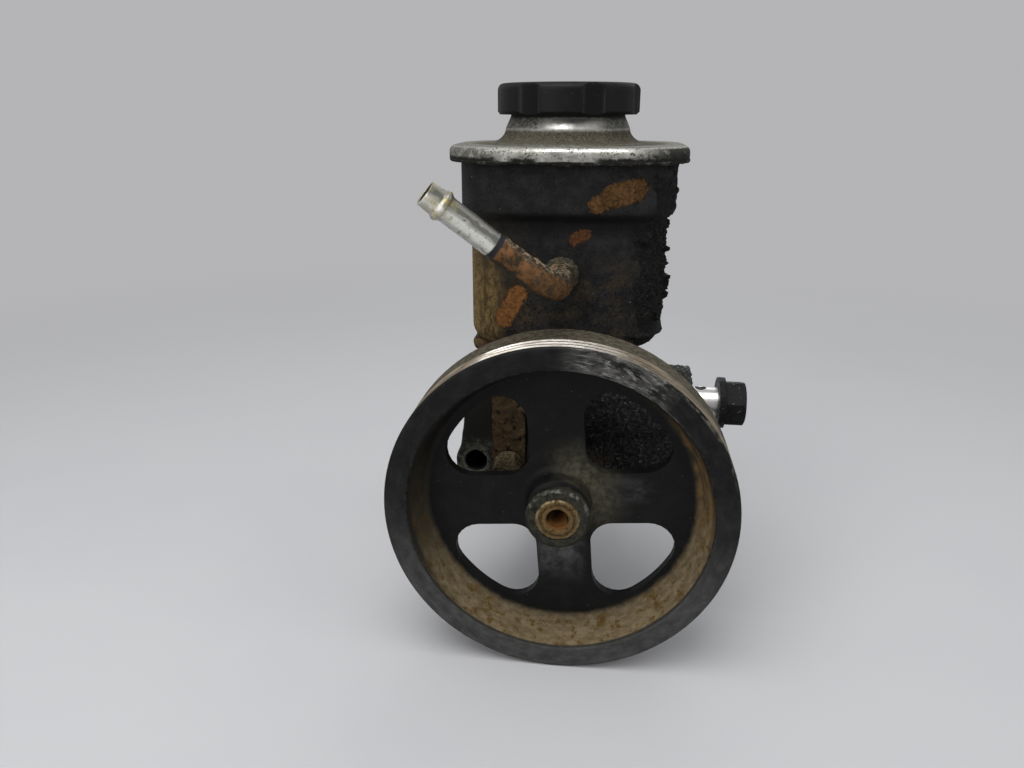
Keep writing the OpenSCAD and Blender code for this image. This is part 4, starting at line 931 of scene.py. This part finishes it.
ring = pulley.both(pulley.ramp(radius, lip_radius - 0.6, lip_radius + 0.4), pulley.ramp(depth, 2.2, 1.2))
pulley.mottle((4, 0.40, 0.75, 1.0, (0.5, 1, 1), along_rim), (0.014, 0.014, 0.0136), 0.6, on=ring)
low_ring = pulley.both(ring, pulley.ragged(upward, 0.25, -0.7, 14, 0.3))
low_tone = pulley.cloudy((3.0, 0.25, 0.80, 4.0, (0.5, 1, 1), along_rim),
                        (0.029, 0.029, 0.028), (0.062, 0.062, 0.060))
pulley.coat(low_ring, low_tone, 0.8)
pulley.mottle((1.6, 0.62, 0.72, 8.0), (0.085, 0.083, 0.076), 0.8, on=low_ring)
scuffed = pulley.both(ring, pulley.ragged(upward, 0.74, 0.90, 6, 0.08), pulley.ramp(rightward, -0.04, 0.16))
scuff_haze = (3.2, 0.36, 0.70, 2.0, (0.4, 1, 1), along_rim)
pulley.mottle(scuff_haze, (0.085, 0.083, 0.077), 0.6, on=scuffed)
rubs = pulley.patches(1.5, 0.52, 0.70, 4.5, (0.35, 1, 1), along_rim)
pulley.coat((scuffed, rubs, pulley.ramp(rightward, 0.06, 0.26)), (0.230, 0.222, 0.203), 0.55)
scratches = (0.7, 0.57, 0.66, 1.5, (0.12, 1, 1), along_rim)
pulley.mottle(scratches, (0.15, 0.147, 0.137), 0.55, on=scuffed)
worn_edge = pulley.both(ring, pulley.ramp(radius, rim_radius - 1.8, rim_radius - 0.8),
                        pulley.ramp(rightward, 0.15, 0.55), pulley.ramp(upward, 0.15, 0.5))
edge_rubs = (2.2, 0.46, 0.62, 5.0, (0.4, 1, 1), along_rim)
pulley.mottle(edge_rubs, (0.105, 0.095, 0.072), 0.6, 0.2, on=worn_edge)
lip = pulley.both(pulley.between(radius, lip_radius - 0.5, lip_radius + 0.5, 0.3),
                  pulley.ramp(depth, 2.4, 1.0))
pulley.mottle((2.4, 0.44, 0.68, 6.0), (0.032, 0.031, 0.027), 0.6, on=lip)
# Lighter on the lip's upper right: worn paint and painted highlight.
lip_wear_and_highlight = pulley.both(lip, pulley.ramp(upward, 0.55, 0.80), pulley.ramp(rightward, -0.1, 0.25))
pulley.mottle((3, 0.40, 0.58, 3.0), (0.13, 0.127, 0.116), 0.5, 0.3, on=lip_wear_and_highlight)

dish = pulley.both(pulley.ramp(radius, lip_radius, lip_radius - 0.5), pulley.ramp(depth, 1.0, 2.4),
                   pulley.ramp(depth, web_depth + 0.3, web_depth - 0.2),
                   pulley.ragged(radius, 57.6, 62.2, 5, 1.8, 1.6))
lowness = pulley.math("SUBTRACT", upward, pulley.both(rightward, 0.30))
dust_share = pulley.ragged(lowness, 0.95, -0.30, 9, 0.26, 2.4)
dust_streaks = pulley.patches(2.6, 0.32, 0.70, 5.0, (0.5, 1, 1), along_rim)
dust_clouds = pulley.shade(dust_streaks, (0.092, 0.069, 0.037), (0.168, 0.130, 0.077))
dust_tone = pulley.mix(pulley.ramp(lowness, 0.15, -0.45), (0.052, 0.043, 0.027, 1), dust_clouds)
pulley.coat((dish, dust_share), dust_tone, 0.93)
spots = pulley.both(dish, dust_share, pulley.patches(4.2, 0.51, 0.62, 8.0))
pulley.mottle((1.5, 0.34, 0.56, 2.0), (0.074, 0.043, 0.010), 0.95, on=spots)
pulley.mottle((0.8, 0.60, 0.74, 6.0), (0.046, 0.034, 0.018), 0.95, on=(dish, dust_share))
right_wall = pulley.both(dish, pulley.ramp(rightward, 0.55, 0.80),
                         pulley.ramp(upward, 0.75, 0.45), pulley.ramp(upward, -0.35, 0.1))
rust_streaks = (4, 0.42, 0.60, 4.4, (0.4, 1, 1), along_rim)
pulley.mottle(rust_streaks, (0.140, 0.082, 0.034), 0.95, on=right_wall)
# Darker in the dish just under the lip, on its upper and left side: painted shade.
shade_under_lip = pulley.both(dish, pulley.ragged(depth, 6.4, 2.2, 4, 1.5),
                        pulley.ragged(lowness, -0.85, 0.1, 8, 0.3, 5.0))
pulley.coat(shade_under_lip, (0.018, 0.015, 0.011), 0.85)

web = pulley.both(pulley.ramp(radius, 60.5, 58), pulley.ramp(depth, web_depth + 0.5, web_depth - 0.5))
fan = pulley.math("ADD", pulley.both(rightward, 0.95), pulley.both(upward, 0.5))
hub_dust = pulley.both(web, pulley.ragged(radius, 33, 14, 8, 6, 3.0),
                       pulley.ragged(fan, 0.05, 0.85, 8, 0.3),
                       pulley.ramp(radius, hub_radius - 0.5, hub_radius + 0.7))
olive = pulley.cloudy((3.0, 0.30, 0.70, 1.0), (0.030, 0.028, 0.018), (0.080, 0.074, 0.050))
pulley.coat(hub_dust, olive, 0.88)
grey_rub = pulley.both(web, pulley.between(across, 22, 40, 6), pulley.between(up, 2, 11, 4))
pulley.mottle((5, 0.36, 0.76, 3.0, (0.6, 1, 1)), (0.040, 0.041, 0.041), 0.75, on=grey_rub)
foot_rub = pulley.both(web, pulley.between(across, -9, 10, 4), pulley.ragged(up, -44, -24, 8, 5, 1.1),
                       pulley.ramp(up, -14, -20))
foot_tone = pulley.cloudy((6, 0.32, 0.70), (0.020, 0.020, 0.020), (0.088, 0.088, 0.085))
pulley.coat(foot_rub, foot_tone, 0.75)
hub_face = pulley.both(pulley.ramp(radius, hub_radius - 0.9, hub_radius - 1.3),
                       pulley.ramp(depth, 2.0, 1.0))
pulley.mottle((1.8, 0.32, 0.62, 7.0), (0.030, 0.029, 0.020), 0.7, on=hub_face)
hub_edge = pulley.both(pulley.between(radius, hub_radius - 1.3, hub_radius, 0.3),
                       pulley.ramp(depth, 1.6, 0.6))
pulley.coat(hub_edge, (0.016, 0.016, 0.013), 0.6)
# Lighter on the upper part of the hub's edge: painted highlight.
hub_edge_highlight = pulley.both(hub_edge, pulley.ramp(upward, -0.1, 0.5))
pulley.mottle((2.2, 0.46, 0.64, 2.0), (0.100, 0.097, 0.083), 0.5, 0.3, on=hub_edge_highlight)

rim = pulley.ramp(radius, rim_radius - 2.9, rim_radius - 2.4)
belt_track = pulley.both(rim, pulley.between(depth, 1.1, belt_end, 0.3))
pulley.coat(belt_track, (0.062, 0.052, 0.038), 0.6, 0.4)
crest = pulley.both(belt_track, pulley.ramp(radius, rim_radius - 1.7, rim_radius - 0.7))
crest_streaks = pulley.patches(2.8, 0.36, 0.66, 2.0, (0.3, 1, 1), along_rim)
crest_tone = pulley.shade(crest_streaks, (0.40, 0.36, 0.31), (0.68, 0.64, 0.58))
pulley.coat(crest, crest_tone, 0.30, 1.0)
browned = pulley.math("MAXIMUM", pulley.ragged(rightward, 0.12, 0.42, 7, 0.12, 7.0),
                       pulley.ragged(rightward, -0.34, -0.54, 7, 0.10, 2.0))
brown_tone = pulley.shade(crest_streaks, (0.13, 0.105, 0.072), (0.27, 0.225, 0.165))
pulley.coat((crest, browned), brown_tone, 0.5, 0.7)
back_band = pulley.both(rim, pulley.ramp(depth, belt_end - 0.2, belt_end + 0.6))
band_tone = pulley.cloudy((2.2, 0.36, 0.64, 9.0), (0.036, 0.031, 0.020), (0.098, 0.086, 0.061))
pulley.coat(back_band, band_tone, 0.85, 0.0)
pulley.mottle((0.8, 0.55, 0.68, 2.0), (0.014, 0.013, 0.010), 0.9, on=back_band)
pulley.pits(0.8, 0.05)
pulley.lay_on(*solid("pulley"))


# The shaft's end shows in the hub: bare steel gone brown, with a tapped hole for the puller screw.
# The thread's crests are the only piece added to it here.
shaft = Finish("shaft_rust", (0.098, 0.064, 0.026), 0.8, gloss=0.12)
shaft.mottle((1.6, 0.42, 0.64), (0.046, 0.026, 0.010), 0.9)
shaft_radius = shaft.reach((1, 0, 1))
worn_rim = shaft.ramp(shaft_radius, 8.0, 8.8)
shaft.mottle((2.2, 0.40, 0.58, 4.0), (0.22, 0.175, 0.095), 0.5, 0.3, on=worn_rim)
groove = shaft.between(shaft_radius, 6.7, 7.5, 0.3)
shaft.mottle((2.4, 0.30, 0.54, 6.0), (0.034, 0.021, 0.009), 0.9, on=groove)
mouth = shaft.between(shaft_radius, 4.6, 6.2, 0.3)
shaft.mottle((2.0, 0.4, 0.6, 1.0), (0.120, 0.070, 0.026), 0.8, on=mouth)
# Inside the tapped hole the steel is painted near black: painted shade; rust lies on its lower side.
hole = shaft.both(shaft.ramp(shaft_radius, 5.0, 4.4), shaft.ramp(shaft.axis("Y"), 40, 30))
shaft.coat(hole, (0.008, 0.006, 0.004), 0.9)
low_side = shaft.ragged(shaft.axis("Z"), -0.5, -2.5, 2, 0.8)
shaft.coat((hole, low_side), (0.120, 0.052, 0.015), 0.9)
shaft.pits(0.9, 0.40)
thread_radius, thread_pitch, thread_turns = 4.25 * mm, 1.5 * mm, 12
thread_height, thread_steps = 0.45 * mm, 48
thread_root = thread_radius + 0.1 * mm
thread_half, thread_start = 0.6 * mm, 1.2 * mm
thread_points, thread_faces = [], []
for k in range(thread_turns * thread_steps + 1):
    turn = 2 * math.pi * k / thread_steps
    middle = thread_start + thread_pitch * k / thread_steps
    for r, y in ((thread_root, -thread_half), (thread_radius - thread_height, 0), (thread_root, thread_half)):
        thread_points.append((r * math.cos(turn), middle + y, r * math.sin(turn)))
for k in range(thread_turns * thread_steps):
    for side in range(3):
        a, b = 3 * k + side, 3 * k + (side + 1) % 3
        thread_faces.append((a, b, b + 3, a + 3))
last = 3 * thread_turns * thread_steps
thread_faces += [(2, 1, 0), (last, last + 1, last + 2)]
thread = add_mesh("puller_thread", thread_points, thread_faces)
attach(thread, "drive")
shaft.lay_on(thread, *solid("drive_shaft"))
